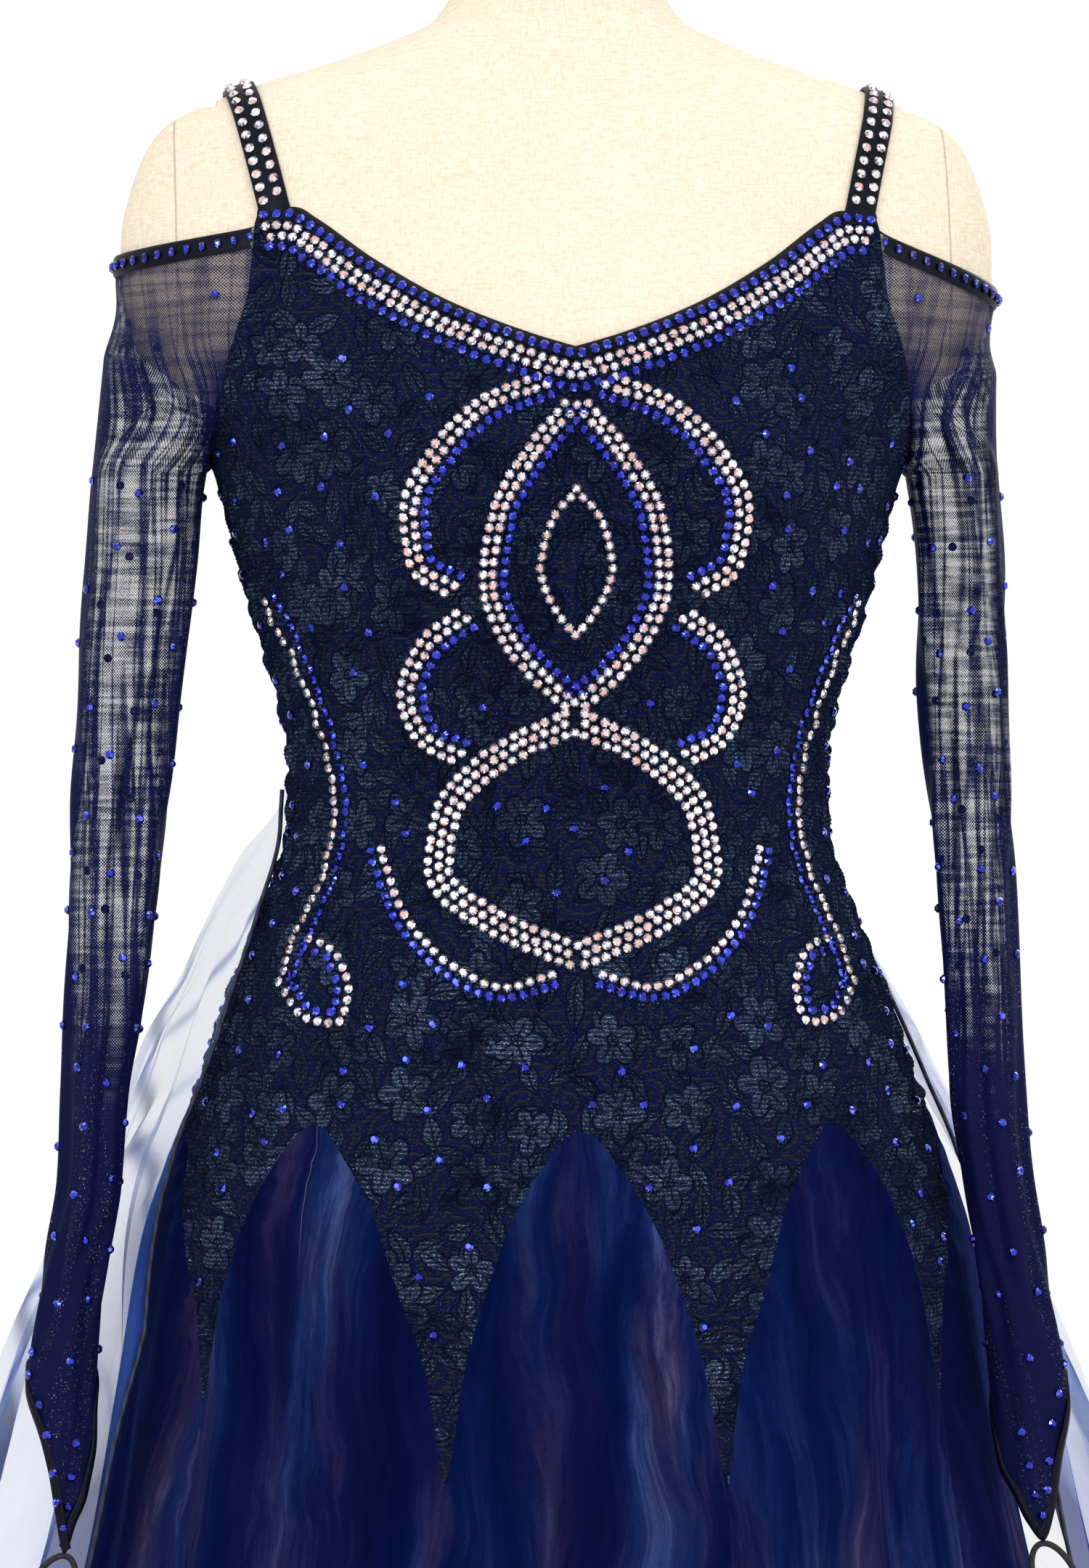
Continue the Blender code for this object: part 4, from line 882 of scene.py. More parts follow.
# Across the top band and the cuff binding: share of the width, and how far the strip stands out
BAND_SECTION = (
    (-0.02, -0.0014), (-0.03, 0.0004), (0.12, 0.0012), (0.5, 0.0014), (0.88, 0.0012), (1.0, 0.0002)
)
CUFF_BINDING_WIDTH = 0.0045
CUFF_SECTION = ((0.0, -0.0012), (-0.06, 0.0), (0.05, 0.0010), (0.5, 0.0013), (0.9, 0.0010), (1.0, 0.0002))
CUFFS = {
    "left": (
        (-180, 0.8020), (-120, 0.8000), (-90, 0.7900), (-67.5, 0.7650), (-45, 0.7420), (-22.5, 0.7280),
        (0, 0.7140), (22.5, 0.7520), (45, 0.7720), (67.5, 0.7870), (90, 0.7970), (120, 0.8010),
        (180, 0.8020),
    ),
    "right": (
        (-180, 0.7960), (-120, 0.7900), (-90, 0.7660), (-67.5, 0.7490), (-45, 0.7370), (-22.5, 0.7240),
        (0, 0.7155), (22.5, 0.7320), (45, 0.7600), (67.5, 0.7800), (90, 0.7910), (120, 0.7950),
        (180, 0.7960),
    ),
}


def mesh_material():
    """Power mesh: a fine see-through net of navy yarn. Where its folds double it, it is nearly solid, and
    where it is pulled, small glints of light on its threads are painted into its colour."""
    material, tree, shader = new_material("navy_stretch_mesh")
    cloth = node(tree, "TexCoord").outputs["UV"]
    dense = node(tree, "Attribute", attribute_name="dense").outputs["Fac"]
    # Round net holes 1.1 mm apart in a diamond layout
    diamond = node(tree, "Mapping", Vector=cloth, Rotation=(0, 0, math.pi / 4), Scale=(900, 900, 1))
    hole = node(tree, "TexVoronoi", Vector=diamond, Scale=1.0, Randomness=0.12, voronoi_dimensions="2D")
    # Level ripples about 7 mm apart, where the net of the front wall crosses that of the back wall
    sway = node(tree, "Mapping", Vector=cloth, Scale=(16, 290, 1))
    ripple = node(tree, "TexNoise", Vector=sway, Scale=1.0, Detail=2.0, Roughness=0.5, Distortion=0.6)
    ripple = node(tree, "MapRange", ripple, 0.42, 0.62)
    long = node(tree, "Mapping", Vector=cloth, Scale=(62, 3.0, 1))
    pull = node(tree, "TexNoise", Vector=long, Scale=1.0, Detail=2.5, Roughness=0.6, Distortion=0.2)
    fold = node(
        tree, "MapRange", node(tree, "Math ABSOLUTE", node(tree, "Math SUBTRACT", pull, 0.5)), 0.004,
        0.045, 0.55, 0.0,
    )
    # The net is smooth over the shoulder cap, and falls in folds below it
    height = node(tree, "SeparateXYZ", cloth).outputs[1]
    fold = node(tree, "Math MULTIPLY", fold, node(tree, "MapRange", height, 1.31, 1.27, 0.25, 1.0))
    ripple = node(tree, "Math MULTIPLY", ripple, node(tree, "MapRange", height, 1.29, 1.26, 0.15, 0.30))
    slack = node(tree, "Math ADD", dense, node(tree, "Math ADD", ripple, fold), use_clamp=True)
    size = node(tree, "MapRange", slack, 0.0, 0.95, 0.52, 0.08)
    cover = node(tree, "MapRange", node(tree, "Math SUBTRACT", hole, size), -0.07, 0.07, 0.10, 1.0)
    cover = node(tree, "Math MAXIMUM", cover, node(tree, "MapRange", slack, 0.25, 1.0, 0.15, 0.99))
    colour = node(tree, "ValToRGB", slack, stops=[(0.0, "#17193c"), (0.45, "#10133c"), (1.0, "#0a0d34")])
    # Painted highlights: tiny pale glints along the ridges of the pulled net
    spark = node(tree, "Mapping", Vector=cloth, Scale=(1800, 700, 1))
    spark = node(tree, "TexNoise", Vector=spark, Scale=1.0, Detail=1.0)
    spark = node(tree, "MapRange", spark, 0.66, 0.74, 0.0, 0.8)
    edge = node(tree, "ValToRGB", pull, stops=[(0.46, 0.0), (0.54, 1.0), (0.58, 0.0)])
    glint = node(tree, "Math MULTIPLY", spark, edge)
    colour = node(
        tree, "Mix", sockets={0: glint, 6: colour, 7: linear("#b9b4a6")}, data_type="RGBA"
    ).outputs[2]
    bump = node(tree, "Bump", Strength=0.3, Distance=0.0006, Height=pull)
    connect(
        shader,
        {
            "Base Color": colour, "Alpha": cover, "Normal": bump, "Roughness": 0.6,
            "Specular IOR Level": 0.04,
        },
    )
    return material


def sleeve_ring(curves, sign, turn, height, out=0.0):
    """Points round the hanging sleeve. A turn of 0 faces the front, 90 the outside, 180 the back."""
    centre_x, centre_y, wide, deep = curves
    angle = np.radians(turn)
    x = centre_x(height) + sign * (wide(height) + out) * np.sin(angle)
    y = centre_y(height) - (deep(height) + out) * np.cos(angle)
    return np.stack([x, y, np.broadcast_to(height, x.shape)], axis=-1)


def sleeve_folds(turn, height, side):
    """Long uneven folds down the hanging sleeve, softer at the shoulder and the wrist."""
    start = SLEEVE_FOLD_START[side]
    a = np.radians(turn)
    wander = 0.5 * np.sin(height * 17 + start) + 0.3 * np.sin(height * 41)
    depth = ease((1.27 - height) / 0.12) * (0.35 + 0.65 * ease((height - 0.80) / 0.05))
    deep = np.sin(5 * a + wander * 2 + start) * 0.0016 + np.sin(9 * a - wander * 3) * 0.0009
    return depth * (deep - 0.0012)


def sleeve_density(across, height, side):
    """How much the mesh is doubled: at the slack sides, in a few long folds and towards the wrist."""
    start = SLEEVE_FOLD_START[side]
    hanging = ease((1.295 - height) / 0.045)
    inner = np.exp(-((np.minimum(across, 1 - across) / 0.085) ** 2)) * 0.95
    outer = np.exp(-(((across - 0.5) / 0.060) ** 2)) * 0.9
    wander = 0.05 * np.sin(height * 15 + start) + 0.02 * np.sin(height * 37 + start)
    folds = np.maximum(np.cos(2 * math.pi * (across * 5 + wander * 3 + start)), 0) ** 16
    folds = folds * (0.65 + 0.35 * np.sin(height * 23 + start * 3))
    wrist = ease((1.03 - height) / 0.16) * 0.85 + ease((0.93 - height) / 0.08) * 0.15
    mottled = 0.6 + 0.4 * np.sin(across * 19 + height * 60)
    shoulder = 0.20 + 0.26 * ease((1.33 - height) / 0.075) * mottled
    hung = np.clip(np.maximum(inner, outer) + 0.7 * folds + wrist, 0, 1)
    return hung * hanging + np.clip(shoulder + 0.5 * outer, 0, 1) * (1 - hanging)


mesh_cloth = mesh_material()
sleeve_shapes = {}
for side, sign in SIDES.items():
    rows_table = SLEEVES[side]
    curves = [smooth_curve(rows_table[:, 0], rows_table[:, place]) for place in (1, 2, 3, 4)]
    across = np.linspace(0, 1, 97)
    rows = []
    for level in np.linspace(SLEEVE_TOP, UNDERARM, 34):
        front = float(armhole_angle(level))
        blend = float(ease((1.325 - level) / (1.325 - UNDERARM)))
        fall = SLEEVE_TOP_DROP[side] * float(ease((level - 1.25) / (SLEEVE_TOP - 1.25)))
        height = level - fall * np.sin(across * math.pi) ** 0.8
        on_body = body_point(sign * lerp(front, 180 - front, across), height)
        start = lerp(-20.0, -90.0, float(ease((1.33 - level) / (1.33 - UNDERARM))))
        turn = lerp(start, 180 - start, across)
        hanging = sleeve_ring(curves, sign, turn, height, sleeve_folds(turn, height, side))
        # The outer side of the sleeve falls straight from its band
        loose = np.maximum(blend, ease((SLEEVE_TOP - level) / 0.045) * np.sin(across * math.pi) ** 1.5)
        mixed = lerp(on_body, hanging, loose[:, None])
        for end, place in ((0, across), (-1, 1 - across)):
            pull = np.clip(1 - place / 0.45, 0, 1) ** 2
            mixed = mixed + (on_body[end] - mixed[end]) * pull[:, None]
        rows.append(mixed)
    turn = np.linspace(-90, 270, 97)
    for level in np.linspace(UNDERARM - 0.002, CUFF_START, 150):
        rows.append(sleeve_ring(curves, sign, turn, level, sleeve_folds(turn, level, side)))
    cuff_level = smooth_curve(*zip(*CUFFS[side]))
    edge = cuff_level((turn + 180.0) % 360.0 - 180.0)
    for down in np.linspace(0, 1, 40)[1:]:
        height = lerp(CUFF_START, edge, down)
        rows.append(sleeve_ring(curves, sign, turn, height, sleeve_folds(turn, height, side)))
    points = np.array(rows)
    heights = points[..., 2]
    width = row_widths(points)
    uv = np.stack([(across[None] - 0.5) * width + (0.4 if side == "left" else 1.1), heights], axis=-1)
    dense = sleeve_density(across[None], heights, side)
    mesh = grid_mesh(f"sleeve_{side}", points, uv, attributes={"dense": dense})
    sleeve = add_piece(f"mesh_sleeve_{side}", mesh, mesh_cloth, [f"sleeve_{side}"])
    sleeve_shapes[side] = (curves, cuff_level)

    # Top band: a bias strip of satin round the sleeve's top edge
    rows = []
    for down, out in BAND_SECTION:
        level = lerp(SLEEVE_TOP + 0.010, SLEEVE_TOP, down)
        front = float(armhole_angle(min(level, ARMHOLE_TOP)))
        height = level - SLEEVE_TOP_DROP[side] * np.sin(across * math.pi) ** 0.8
        rows.append(body_point(sign * lerp(front, 180 - front, across), height, out))
    mesh = grid_mesh(f"band_{side}", np.array(rows))
    band = add_piece(f"satin_sleeve_band_{side}", mesh, satin, [f"sleeve_band_{side}"])

    # Cuff binding: a narrow satin strip folded over the pointed edge
    turn = np.linspace(-180, 180, 241)[:-1]
    edge = cuff_level(turn)
    line = sleeve_ring(curves, sign, turn, edge, sleeve_folds(turn, edge, side))
    along = unit(np.roll(line, -2, axis=0) - np.roll(line, 2, axis=0))
    centre = np.stack([curves[0](edge), curves[1](edge), edge], axis=-1)
    outward = line - centre
    outward = unit(outward - along * np.sum(outward * along, axis=1, keepdims=True))
    inward = np.cross(outward, along) * sign
    inward *= np.where(inward[:, 2:3] < 0, -1, 1)
    rows = [line + inward * CUFF_BINDING_WIDTH * share + outward * out for share, out in CUFF_SECTION]
    mesh = grid_mesh(f"cuff_{side}", np.array(rows), closed=("columns",))
    binding = add_piece(f"satin_cuff_binding_{side}", mesh, satin, [f"cuff_binding_{side}"])


# Finger loops: rings of round black elastic, 3 mm thick. Their ends are sewn inside the tips of the
# cuffs, and a finger goes through each to keep the cuff's point over the hand.
def elastic_material():
    """Covered round elastic: matt black braid, its pattern drawn 4.8 mm long so that it shows."""
    material, tree, shader = new_material("black_elastic")
    place = node(tree, "TexCoord").outputs["Object"]
    braid = node(tree, "TexWave", place, 130.0, 1.0, bands_direction="DIAGONAL")
    bump = node(tree, "Bump", Strength=0.5, Distance=0.0004, Height=braid)
    colour = node(tree, "ValToRGB", braid, stops=[(0.2, "#08080a"), (0.8, "#17171b")])
    connect(shader, {"Base Color": colour, "Normal": bump, "Roughness": 0.75})
    return material


elastic = elastic_material()
# Half width and half height of a loop, the radius of its elastic, and how far it leans
LOOP_WIDE, LOOP_TALL, LOOP_RADIUS, LOOP_LEAN = 0.010, 0.021, 0.0015, math.radians(25)
for side, sign in SIDES.items():
    low, high = (np.array(corner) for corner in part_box(f"finger_loop_{side}"))
    middle = (low + high) / 2
    turns = np.linspace(0, 2 * math.pi, 72, endpoint=False)
    rounds = np.linspace(0, 2 * math.pi, 10, endpoint=False)
    lean = LOOP_LEAN * sign
    rows = []
    for turn in turns:
        flat = np.array([LOOP_WIDE * math.cos(turn), 0, LOOP_TALL * math.sin(turn)])
        out = np.array([math.cos(turn), 0, math.sin(turn) * LOOP_WIDE / LOOP_TALL])
        out /= np.linalg.norm(out)
        rows.append(
            [flat + LOOP_RADIUS * (out * math.cos(r) + np.array([0, 1, 0]) * math.sin(r)) for r in rounds]
        )
    x, y, z = np.moveaxis(np.array(rows), -1, 0)
    leaning = [x * math.cos(lean) - z * math.sin(lean), y, x * math.sin(lean) + z * math.cos(lean)]
    points = np.stack(leaning, axis=-1) + middle
    mesh = grid_mesh(f"loop_{side}", points, closed=("rows", "columns"))
    add_piece(f"elastic_loop_{side}", mesh, elastic, [f"finger_loop_{side}"])


# Floats: two sheer panels of pale organza sewn to the back waist. They spread out beside the skirt
# and fall in slanting folds, with a dark cord rolled into their front and back edges.
FLOAT_TOP, FLOAT_CENTRE_BACK, FLOAT_FOLDS, FLOAT_WALL = 1.078, 177.0, 5, 0.0012
FLOATS = {
    "left": np.array(
        [
            (1.078, 92.0, 0.000, 0.0017), (1.043, 84.0, 0.204, 0.0029), (1.012, 79.0, 0.194, 0.0032),
            (0.984, 75.0, 0.173, 0.0036), (0.953, 72.0, 0.195, 0.0042), (0.905, 72.7, 0.186, 0.0060),
            (0.854, 68.4, 0.176, 0.0080), (0.798, 65.0, 0.217, 0.0105), (0.690, 67.2, 0.244, 0.0155),
            (0.500, 78.0, 0.340, 0.0250), (0.300, 86.0, 0.290, 0.0340), (0.120, 90.0, 0.220, 0.0400),
        ]
    ),
    "right": np.array(
        [
            (1.078, 103.0, 0.000, 0.0017), (1.043, 102.0, 0.100, 0.0029), (1.012, 101.0, 0.165, 0.0032),
            (0.984, 100.0, 0.215, 0.0036), (0.953, 98.0, 0.240, 0.0042), (0.905, 94.0, 0.229, 0.0060),
            (0.854, 90.0, 0.217, 0.0080), (0.798, 87.0, 0.280, 0.0105), (0.690, 85.0, 0.353, 0.0155),
            (0.500, 86.0, 0.350, 0.0250), (0.300, 88.0, 0.290, 0.0340), (0.120, 90.0, 0.220, 0.0400),
        ]
    ),
}


def sheer_material():
    """Sheer organza: the palest blue and see-through, with blue where a crease gathers its threads."""
    material, tree, shader = new_material("sheer_blue_organza")
    cloth = node(tree, "TexCoord").outputs["UV"]
    fold = node(tree, "Attribute", attribute_name="fold").outputs["Fac"]
    long = node(tree, "Mapping", Vector=cloth, Rotation=(0, 0, 0.5), Scale=(50, 4, 1))
    streak = node(tree, "TexNoise", Vector=long, Scale=1.0, Detail=4.0, Roughness=0.6, Distortion=0.4)
    thick = node(tree, "Math MULTIPLY_ADD", streak, 0.30, fold)
    cover = node(tree, "ValToRGB", thick, stops=[(0.14, 0.12), (0.34, 0.24), (0.60, 0.52), (0.85, 0.80)])
    colour = node(
        tree, "ValToRGB", thick,
        stops=[(0.14, "#93abe4"), (0.34, "#7b98de"), (0.60, "#4467b4"), (0.85, "#1f3478")],
    )
    connect(shader, {"Base Color": colour, "Alpha": cover, "Roughness": 0.5, "Specular IOR Level": 0.0})
    return material


def cord_material():
    """Rolled edge cord: dark twisted yarn, its turns drawn 12.5 mm long so that they show."""
    material, tree, shader = new_material("dark_edge_cord")
    cloth = node(tree, "TexCoord").outputs["UV"]
    twist = node(tree, "TexWave", cloth, 50.0, 0.3, bands_direction="DIAGONAL")
    bump = node(tree, "Bump", Strength=0.9, Distance=0.0005, Height=twist)
    colour = node(tree, "ValToRGB", twist, stops=[(0.2, "#070818"), (0.8, "#1c2145")])
    connect(shader, {"Base Color": colour, "Normal": bump, "Roughness": 0.6})
    return material


def run_along(line):
    """How far along a line each of its points lies."""
    return np.concatenate([[0], np.cumsum(np.linalg.norm(np.diff(line, axis=0), axis=1))])


def float_points(side, across, levels):
    """The float's outer points, and how gathered its cloth is at each."""
    sign = SIDES[side]
    table = FLOATS[side]
    front, spread, lift = (smooth_curve(table[:, 0], table[:, place]) for place in (1, 2, 3))
    level = levels[:, None]
    angle = sign * lerp(front(level), FLOAT_CENTRE_BACK, across[None])
    base = body_point(angle, level)
    reach = np.hypot(base[..., 0], base[..., 1])
    smooth = fold_depth_at(level) * (fold_wave(angle) - 0.35)
    bulge = spread(level) * np.sin(math.pi * np.clip(across * 1.32 + 0.02, 0, 1)) ** 1.6
    lean = 0.02 * (FLOAT_TOP - level)
    phase = 0.15 if side == "left" else 0.55
    depth = 0.026 * ease((FLOAT_TOP - 0.05 - level) / 0.75)
    big = depth * np.sin(2 * math.pi * (FLOAT_FOLDS * (across - lean) + phase)) * ease(across * 6)
    slant = across * 13 + (FLOAT_TOP - level) * 3.4
    small = np.sin(2 * math.pi * slant + 1.5 * np.sin(level * 11)) * 0.004
    small = small * ease((FLOAT_TOP - level) / 0.2)
    wave = np.maximum(big + reach * bulge, 0.0) + small
    away = reach - smooth + fold_depth_at(level) + lift(level) + FLOAT_WALL + np.maximum(wave, 0)
    away = away / reach
    points = np.stack([base[..., 0] * away, base[..., 1] * away, base[..., 2]], axis=-1)
    # A few creases run out from the waist and fade, and the cloth doubles over itself lower down
    run = 4.6 * (1 - np.exp((level - FLOAT_TOP) / 0.35))
    line = across * 4.6 - run + 0.30 * np.sin(level * 19 + across * 7) + 20
    strength = 0.55 + 0.45 * np.sin(line // 1 * 2.4 + across * 9)
    crease = np.exp(-((((line % 1.0) - 0.5) / 0.085) ** 2)) * strength
    crease = crease * ease((level - 0.40) / 0.30)
    layered = ease((0.88 - level) / 0.20) * (0.5 + 0.5 * np.sin(across * 21 - level * 9 + 1.0)) ** 2
    doubled = np.exp(-((across / 0.085) ** 2)) * ease((0.97 - level) / 0.12)
    doubled = doubled * (0.75 + 0.25 * np.sin(level * 31))
    edge = np.exp(-across / 0.006) + np.exp(-(1 - across) / 0.006)
    gathered = np.clip(0.60 * crease + 0.50 * layered + 0.3 * edge + 0.62 * doubled, 0, 1)
    return points, np.broadcast_to(gathered, points.shape[:2])


sheer = sheer_material()
edge_cord = cord_material()
EDGE_CORD_RADIUS = 0.0011
for side, sign in SIDES.items():
    across = np.linspace(0, 1, 181)
    levels = np.concatenate([np.linspace(FLOAT_TOP, 0.60, 130), np.linspace(0.595, 0.120, 60)])
    points, gathered = float_points(side, across, levels)
    width = row_widths(points)
    uv = np.stack([across[None] * width + (0.0 if side == "left" else 0.9), points[..., 2]], axis=-1)
    mesh = grid_mesh(f"float_{side}", points, uv, attributes={"fold": gathered})
    panel = add_piece(f"sheer_float_{side}", mesh, sheer, [f"float_{side}"])
    for place, name in ((0, "front"), (-1, "back")):
        line = points[:, place]
        along = unit(np.gradient(line, axis=0))
        first = unit(np.cross(along, (0, 1, 0)))
        second = np.cross(along, first)
        rounds = np.linspace(0, 2 * math.pi, 8, endpoint=False)
        tube = np.stack(
            [line + EDGE_CORD_RADIUS * (first * math.cos(r) + second * math.sin(r)) for r in rounds],
            axis=1,
        )
        uv = np.stack(np.broadcast_arrays(run_along(line)[:, None], rounds[None] / 1000), axis=-1)
        mesh = grid_mesh(f"edge_{name}_{side}", tube, uv, closed=("columns",))
        add_piece(f"edge_cord_{name}_{side}", mesh, edge_cord)


# Stones: flat-backed cut glass, 4.7 mm across, glued on in rows and scattered. Crystal stones have a
# rainbow coating, and the others are royal blue. The middle holds a plain ornament of leaf outlines.
# The radius is that of the eight-sided outline's corners
STONE_RADIUS, STONE_HEIGHT, STONE_PITCH = 0.0025, 0.0020, 0.0055
# How far the second crystal row and the blue row lie beside a line, and the scale of scattered stones
CRYSTAL_ROW, BLUE_ROW = 0.0050, -0.0052
LACE_STONE, SLEEVE_STONE = 0.96, 0.92
stones = {"crystal": [], "blue": []}
chance = np.random.default_rng(11)


def front_angle_of(x, height):
    """The angle on the body's front at which a place seen straight from the front lies."""
    return np.degrees(np.arcsin(np.clip(x / half_width_at(height), -0.999, 0.999)))


def body_normal(angle, height):
    """The direction that the cloth faces."""
    across = body_point(angle + 0.4, height) - body_point(angle - 0.4, height)
    up = body_point(angle, height + 0.002) - body_point(angle, height - 0.002)
    return unit(np.cross(across, up))


def set_stones(kind, points, normals, scale=1.0):
    """Notes stones of a kind at points that face along their normals."""
    for point, normal in zip(points, normals):
        stones[kind].append((*point, *normal, scale))


def evenly(line, pitch):
    """Places along a line of points, a pitch apart."""
    line = np.asarray(line, float)
    run = run_along(line)
    count = max(int(round(run[-1] / pitch)), 1)
    at = np.linspace(0, run[-1], count + 1)
    return np.stack([np.interp(at, run, line[:, axis]) for axis in range(line.shape[1])], axis=-1)


def beside(line, offset):
    """A line moved sideways by a distance, for a second row of stones."""
    line = np.asarray(line, float)
    along = np.gradient(line, axis=0)
    along /= np.maximum(np.linalg.norm(along, axis=1, keepdims=True), 1e-9)
    return line + np.stack([-along[:, 1], along[:, 0]], axis=-1) * offset


def sleeve_stone(side, turn, height, lift=0.0):
    """Sets a blue stone on a sleeve, at a turn round it and a height, lifted off its mesh."""
    sign = SIDES[side]
    curves = sleeve_shapes[side][0]
    fold = sleeve_folds(turn, height, side)
    point = sleeve_ring(curves, sign, np.array([float(turn)]), height, fold + lift)
    beyond = sleeve_ring(curves, sign, np.array([float(turn)]), height, fold + 0.01)
    set_stones("blue", point, (beyond - point) / np.linalg.norm(beyond - point), SLEEVE_STONE)


def front_row(kind, line, shift=0.0):
    """A row of stones along a line drawn on the front in x and height, and its mirror image."""
    places = evenly(line, STONE_PITCH)
    if shift:
        places = lerp(places[:-1], places[1:], shift)
    places = places + chance.normal(0, 0.00022, places.shape)
    for sign in (1, -1):
        x, height = places[:, 0] * sign, places[:, 1]
        if sign < 0:
            # A stone on the centre line is set once
            keep = np.abs(x) > STONE_PITCH * 0.45
            x, height = x[keep], height[keep]
        angle = front_angle_of(x, height)
        points = body_point(angle, height, gathers(angle, height))
        set_stones(kind, points, body_normal(angle, height))


def arc_line(points, count=60):
    """A smooth line through a few points of x and height."""
    points = np.asarray(points, float)
    run = run_along(points)
    at = np.linspace(0, run[-1], count)
    return np.stack([smooth_curve(run, points[:, 0])(at), smooth_curve(run, points[:, 1])(at)], axis=-1)


# Rows round the neckline: kind, distance below the edge, pitch and shift along the row
for kind, below, pitch, shift in (
    ("blue", 0.0034, 0.0063, 0.0), ("crystal", 0.0092, 0.0056, 0.0), ("crystal", 0.0142, 0.0056, 0.5),
    ("blue", 0.0198, 0.0063, 0.3),
):
    for neckline, middle in ((FRONT_NECKLINE, 0.0), (BACK_NECKLINE, 180.0)):
        share = np.linspace(-0.97, 0.97, 240)
        angle = middle + share * NECK_CORNER
        top = neck_height(share, neckline)
        lean = np.gradient(top, np.abs(share) * 0.15 * np.sign(share + 1e-9))
        height = top - below * np.hypot(1, np.clip(lean, -0.8, 0.8))
        whole = body_point(angle, height, 0.0014 if below < 0.006 else 0.0003)
        line = evenly(whole, pitch)
        if shift:
            line = lerp(line[:-1], line[1:], shift)
        line[:, 2] += chance.normal(0, 0.00025, len(line))
        sideways = line[:, 0] / half_width_at(line[:, 2])
        forward = -line[:, 1] / front_depth_at(line[:, 2])
        turns = np.degrees(np.arctan2(sideways, forward))
        set_stones(kind, line, body_normal(turns, line[:, 2]))
# Two rows of crystal along each strap, the second shifted by a third of their spacing
for side, (middle, across, outward) in strap_paths.items():
    run = run_along(middle)
    at = np.arange(0.004, run[-1] - 0.006, 0.0073)
    for share, shift in ((-0.25, 0.0), (0.23, 0.0026)):
        where = np.clip(at + shift, 0, run[-1])
        centre, sideways, facing = (
            np.stack([np.interp(where, run, values[:, axis]) for axis in range(3)], axis=-1)
            for values in (middle, across, outward)
        )
        set_stones("crystal", centre + sideways * STRAP_WIDTH * share + facing * 0.0035, facing)
# The middle ornament: a tall leaf over a lozenge, with sprays of leaves to each side
TALL_LEAF = arc_line(
    [(0.0, 1.262), (0.020, 1.238), (0.036, 1.208), (0.040, 1.178), (0.028, 1.148), (0.0, 1.120)]
)
LOW_LEAF = arc_line(
    [(0.0, 1.106), (0.030, 1.092), (0.056, 1.066), (0.060, 1.040), (0.034, 1.018), (0.0, 1.004)]
)
INNER_LEAF = arc_line([(0.0, 1.222), (0.013, 1.204), (0.017, 1.184), (0.010, 1.164), (0.0, 1.152)])
UPPER_SPRAY = arc_line(
    [(0.014, 1.272), (0.040, 1.262), (0.064, 1.240), (0.078, 1.212), (0.074, 1.186), (0.058, 1.176)]
)
WAIST_SPRAY = arc_line([(0.052, 1.160), (0.070, 1.146), (0.078, 1.124), (0.070, 1.104), (0.054, 1.096)])
HIP_SPRAY = arc_line([(0.012, 0.990), (0.036, 0.984), (0.062, 0.996), (0.082, 1.020), (0.092, 1.050)])
for outline, rows, inner in (
    (TALL_LEAF, 2, True), (LOW_LEAF, 3, False), (INNER_LEAF, 1, False), (UPPER_SPRAY, 2, True),
    (WAIST_SPRAY, 2, True), (HIP_SPRAY, 1, True),
):
    for row in range(rows):
        front_row("crystal", beside(outline, row * CRYSTAL_ROW), shift=0.5 * (row % 2))
    if inner:
        front_row("blue", beside(outline, BLUE_ROW))
# A contour line down each side, from under the arm past the waist to the hip
CONTOUR = arc_line(
    [
        (0.146, 1.170), (0.132, 1.140), (0.118, 1.100), (0.113, 1.072), (0.118, 1.040), (0.132, 1.008),
        (0.140, 0.985),
    ],
    90,
)
front_row("crystal", CONTOUR)
front_row("blue", beside(CONTOUR, BLUE_ROW))
HIP_LEAF = arc_line(
    [(0.140, 0.985), (0.128, 0.968), (0.114, 0.966), (0.108, 0.982), (0.114, 1.000), (0.126, 1.006)]
)
front_row("crystal", HIP_LEAF)
front_row("blue", beside(HIP_LEAF, -0.0050))
# Blue stones scattered over the lace, in uneven rows about 21 mm apart
chance = np.random.default_rng(7)
taken = np.array([stone[:3] for kind in stones for stone in stones[kind]])
for row in range(26):
    for place in range(30):
        angle = -174 + place * 12 + (row % 2) * 6 + chance.uniform(-3, 3)
        height = 1.285 - row * 0.021 + chance.uniform(-0.006, 0.006)
        facing = abs((angle + 180) % 360 - 180)
        limit = NECK_CORNER * 0.9 if height > 1.25 else 180
        point = body_point(angle, height)
        if height < float(lace_edge(angle)) + 0.008 or facing > limit and height > 1.24:
            continue
        if len(taken) and np.linalg.norm(taken - point, axis=1).min() < 0.013:
            continue
        taken = np.vstack([taken, point])
        set_stones("blue", [point], [body_normal(angle, height)], LACE_STONE)
